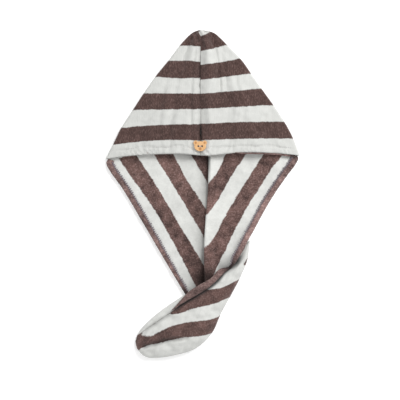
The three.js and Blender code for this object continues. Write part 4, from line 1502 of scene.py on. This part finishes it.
@dataclass
class Button:
    """The wooden bear's-head button with its marks and the thread that holds it."""

    width: float = 28.0
    thickness: float = 4.0
    ear: float = 4.7
    hole: float = 1.8
    spacing: float = 7.4
    bevel: float = 0.75
    off_seam: float = -1.8
    off_rise: float = -2.2
    mouth: float = 1.35
    line: float = 0.24
    strand: float = 0.36

    def __post_init__(self) -> None:
        """Takes the button's place from its node."""
        low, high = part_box("button")
        self.x = HALF * float(SEAMS.get("front", 0.0)) + self.off_seam
        self.y = BUTTON_RISE + self.off_rise
        self.floor, self.top = low.z * 1000, high.z * 1000

    def outline(self, count: int = 144) -> Array:
        """The head's outline: at each angle the farther of the face's round and the ears' circles."""
        ray = circle(count)
        wide, tall = self.width * 0.428, self.width * 0.361
        reach = 1 / np.sqrt((ray[:, 0] / wide) ** 2 + (ray[:, 1] / tall) ** 2)
        for side in (-1, 1):
            middle = np.array((side * (self.width / 2 - self.ear - 0.3), tall * 0.683))
            along = ray @ middle
            off = (middle**2).sum() - along**2
            far = along + np.sqrt(np.maximum(self.ear**2 - off, 0))
            reach = np.where((along > 0) & (off < self.ear**2), np.maximum(reach, far), reach)
        return ray * reach[:, None]

    def body(self) -> bpy.types.Object:
        """Makes the head: its outline and two round holes, raised with rounded edges."""
        flat = bpy.data.curves.new("button_outline", "CURVE")
        flat.dimensions, flat.fill_mode, flat.bevel_resolution = "2D", "BOTH", 4
        flat.bevel_depth, flat.extrude = self.bevel * MM, (self.thickness / 2 - self.bevel) * MM
        flat.offset = -self.bevel * MM
        holes = [self.hole * circle(28) + (side * self.spacing / 2, 0) for side in (-1, 1)]
        for ring in (self.outline(), *holes):
            line = flat.splines.new("POLY")
            line.points.add(len(ring) - 1)
            corners = np.zeros((len(ring), 4))
            corners[:, :2], corners[:, 3] = ring * MM, 1
            line.points.foreach_set("co", corners.ravel())
            line.use_cyclic_u = True
        shape = add_object("button_outline", flat)
        bpy.context.view_layer.update()
        mesh = bpy.data.meshes.new_from_object(shape.evaluated_get(bpy.context.evaluated_depsgraph_get()))
        bpy.data.objects.remove(shape)
        mesh.transform(Matrix.Translation(Vector(to_frame(self.x, self.y, (self.floor + self.top) / 2))))
        mesh.name = "bear_button"
        return add_object("bear_button", mesh)

    def marks(self) -> bpy.types.Object:
        """Makes the nose and mouth burnt into the face: a small dome and two short arcs."""
        surface = Surface()
        aside, along = circle(20).T[:, None]
        rise = np.linspace(0, math.pi, 8)[:, None]
        nose_x = self.x + 1.5 * np.sin(rise) * aside
        nose_y = self.y - 4.6 + 1.05 * np.sin(rise) * along
        surface.tube(to_frame(nose_x, nose_y, self.top - 0.1 - 0.35 * np.cos(rise)))
        turn = np.linspace(math.pi, 2 * math.pi, 12)
        for side in (-1, 1):
            arc_x = self.x + side * self.mouth + self.mouth * np.cos(turn)
            arc_y = self.y - 6.6 + 1.1 * np.sin(turn)
            path = np.stack((arc_x, arc_y, np.full(12, self.top)), -1)
            surface.cord(path, level_sides(path), UP, self.line * circle(8))
        return surface.piece("button_marks")

    def thread(self) -> bpy.types.Object:
        """Makes the sewing thread: two strands up one hole, across the face and down the other."""
        surface = Surface()
        reach, high = self.spacing / 2 - self.hole * 0.55, self.top + 0.5
        rise = ((1, self.floor - 0.1), (1, self.top - 0.8), (0.86, high - 0.25), (0.4, high + 0.1))
        there = [(-share * reach, z) for share, z in rise]
        back = [(share * reach, z) for share, z in reversed(rise)]
        for strand, shift in enumerate((-0.42, 0.42)):
            line = even_path(np.array(there + back), 44)
            bow = shift * (1 + 0.3 * np.cos(line[:, 0] * 0.7))
            path = np.stack((self.x + line[:, 0], self.y + bow, line[:, 1] + 0.2 * strand), -1)
            run = np.gradient(path, axis=0)
            run /= np.linalg.norm(run, axis=1, keepdims=True)
            surface.cord(path, TO_CROWN, np.cross(run, TO_CROWN), self.strand * circle(8))
        return surface.piece("button_sewing")


@dataclass
class Loop:
    """The round elastic loop that lies folded back under the tail's tip."""

    tail: Tail
    length: float = 46.0
    width: float = 15.0
    elastic: float = 2.4
    corners: int = 12

    def build(self) -> bpy.types.Object:
        """Makes the loop: a round section, ribbed by its covering, carried along a drop-shaped path."""
        along = np.array((0, 0.5, 0.85, 1, 0.85, 0.5, 0)) * self.length
        aside = np.array((-0.18, -0.5, -0.42, 0, 0.42, 0.5, 0.18)) * self.width
        path = smoothed(even_path(np.stack((along, aside, np.zeros(7)), -1), 150), 8)
        root, aim = (self.tail.shell(np.array(k), np.array((0.0, 180.0))).mean(0) for k in (0.97, 0.8))
        turn = math.atan2(aim[1] - root[1], aim[0] - root[0])
        spin = np.array(((math.cos(turn), math.sin(turn)), (-math.sin(turn), math.cos(turn))))
        path[:, :2] = path[:, :2] @ spin
        low, high = (np.array(corner) * 1000 - TO_CROWN * PLAN_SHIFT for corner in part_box("elastic_loop"))
        path += (low + high) / 2 - (path.min(0) + path.max(0)) / 2
        way = np.arange(len(path))[:, None]
        angle = np.linspace(0, 2 * math.pi, self.corners, endpoint=False)
        ribbed = self.elastic / 2 * (0.95 + 0.05 * np.sin(way * 1.9 + 2 * angle))
        surface = Surface()
        surface.cord(path, level_sides(path), UP, ribbed[..., None] * circle(self.corners))
        return surface.piece("elastic_cord_loop")


# ---- Studio


@dataclass
class Studio:
    """Pale floor, soft light and the camera straight above. Sizes and places are in metres."""

    seen_width: float = 0.8166
    sensor: float = 36.0
    floor_half: float = 4.0
    floor_drop: float = 0.0002
    floor_glow: float = 0.2
    sky: float = 0.6
    lights: tuple[tuple[str, Triple, float, float], ...] = (
        ("key_light", (1.2, 1.25, 1.8), 1.1, 46.0),
        ("fill_light", (-1.0, -0.9, 2.3), 2.2, 15.0),
    )

    def light(self, name: str, place: Triple, size: float, power: float) -> None:
        """Adds a square area light that faces the middle of the table."""
        lamp = bpy.data.lights.new(name, "AREA")
        lamp.shape, lamp.size, lamp.energy = "SQUARE", size, power
        made = add_object(name, lamp)
        made.location = place
        made.rotation_euler = (-Vector(place)).to_track_quat("-Z", "Y").to_euler()

    def floor(self) -> None:
        """Adds the floor, a touch under the table's height."""
        half = self.floor_half
        corners = [(x, y, -self.floor_drop) for x, y in ((-half, -half), (half, -half), (half, half), (-half, half))]
        mesh = bpy.data.meshes.new("floor")
        mesh.from_pydata(corners, [], [(0, 1, 2, 3)])
        pale, nodes, shader = new_material("pale_floor")
        glow = {"Emission Color": (1, 1, 1, 1), "Emission Strength": self.floor_glow}
        nodes.feed(shader, {"Base Color": (0.93, 0.93, 0.93, 1), "Roughness": 0.9, **glow})
        mesh.materials.append(pale)
        add_object("floor", mesh)

    def build(self) -> None:
        """Adds the floor, the world, the lights and the camera."""
        scene = bpy.context.scene
        scene.view_settings.view_transform = "Standard"
        self.floor()
        scene.world = bpy.data.worlds.new("studio")
        scene.world.use_nodes = True
        tree = scene.world.node_tree
        Nodes(tree).feed(tree.nodes["Background"], {"Color": (1, 1, 1, 1), "Strength": self.sky})
        for name, place, size, power in self.lights:
            self.light(name, place, size, power)
        camera = bpy.data.cameras.new("camera")
        camera.sensor_width = self.sensor
        camera.lens = self.sensor * CAMERA_HEIGHT * MM / self.seen_width
        camera.clip_start, camera.clip_end = 0.05, 50
        scene.camera = add_object("camera", camera)
        scene.camera.location = to_frame(*CAMERA_PLACE, CAMERA_HEIGHT)


def sew(white_thread: bpy.types.Material) -> Tail:
    """Makes the cloth halves, the tail, the hems and their stitching.

    Args:
        white_thread: the material of the row of stitches in the brim.

    Returns:
        The tail.
    """
    pile = Pile()
    groups = {"pile": pile.shading(), "stripes": pile.stripes()}
    striped = Fleece("striped_fleece").make(groups)
    brown = {"dark": (0.125, 0.078, 0.072), "fleck": (0.34, 0.235, 0.215)}
    hem_fleece = Fleece("brown_hem_fleece", **brown, coarseness=1.0, striped=False).make(groups)
    overlock = Thread("overlock_thread", (0.24, 0.19, 0.225), (0.1, 0.072, 0.085)).make()

    halves = {side: Half(side) for side in Side}
    for side, half in halves.items():
        name = side.name.lower()
        dress(half.build(), striped, f"striped_fleece_{name}", f"{name}_half")
        LOG.info("%s half built", name)
    tail = Tail()
    dress(tail.build(), striped, "striped_fleece_tail", "tail")
    for hem, name in ((Hem(halves[Side.LEFT]), "left"), (FarHem(halves[Side.RIGHT]), "right")):
        dress(hem.build(f"{name}_hem_band"), hem_fleece, f"brown_fleece_{name}", f"{name}_hem")
        dress(hem.overlock(f"{name}_overlock"), overlock, f"brown_fleece_{name}")
    brim = BrimEdge(halves)
    dress(brim.band(), hem_fleece, "brown_fleece_brim", "brim_hem")
    dress(brim.stitches(), white_thread, "white_thread")
    LOG.info("hems and stitching built")
    return tail


def fasten(tail: Tail, white_thread: bpy.types.Material) -> None:
    """Makes the button, sewn on with the thread given, and the elastic loop under the tail's tip."""
    button = Button()
    middle = Vector(to_frame(button.x, button.y, button.top))
    muzzle, ears = [((0, -0.005, 0), 0.0038)], [((side * 0.009, 0.0069, 0), 0.0031) for side in (-1, 1)]
    marks = [(middle + Vector(place), reach) for place, reach in muzzle + ears]
    elastic = Thread("white_elastic", (0.7, 0.69, 0.66), (0.5, 0.49, 0.47), 700.0).make()
    dress(button.body(), Wood("pale_wood").make(marks), "light_wood", "button")
    dress(button.marks(), Wood("burnt_wood", (0.5, 0.25, 0.1), (0.38, 0.17, 0.07)).make([]), "light_wood")
    dress(button.thread(), white_thread, "white_thread", "button_thread")
    dress(Loop(tail).build(), elastic, "white_elastic", "elastic_loop")
    LOG.info("button and loop built")


def main() -> None:
    """Builds the studio, then the towel piece by piece."""
    logging.basicConfig(level=logging.INFO, format="%(name)s: %(message)s")
    Studio().build()
    white_thread = Thread("white_thread").make()
    fasten(sew(white_thread), white_thread)


if __name__ == "__main__":
    main()
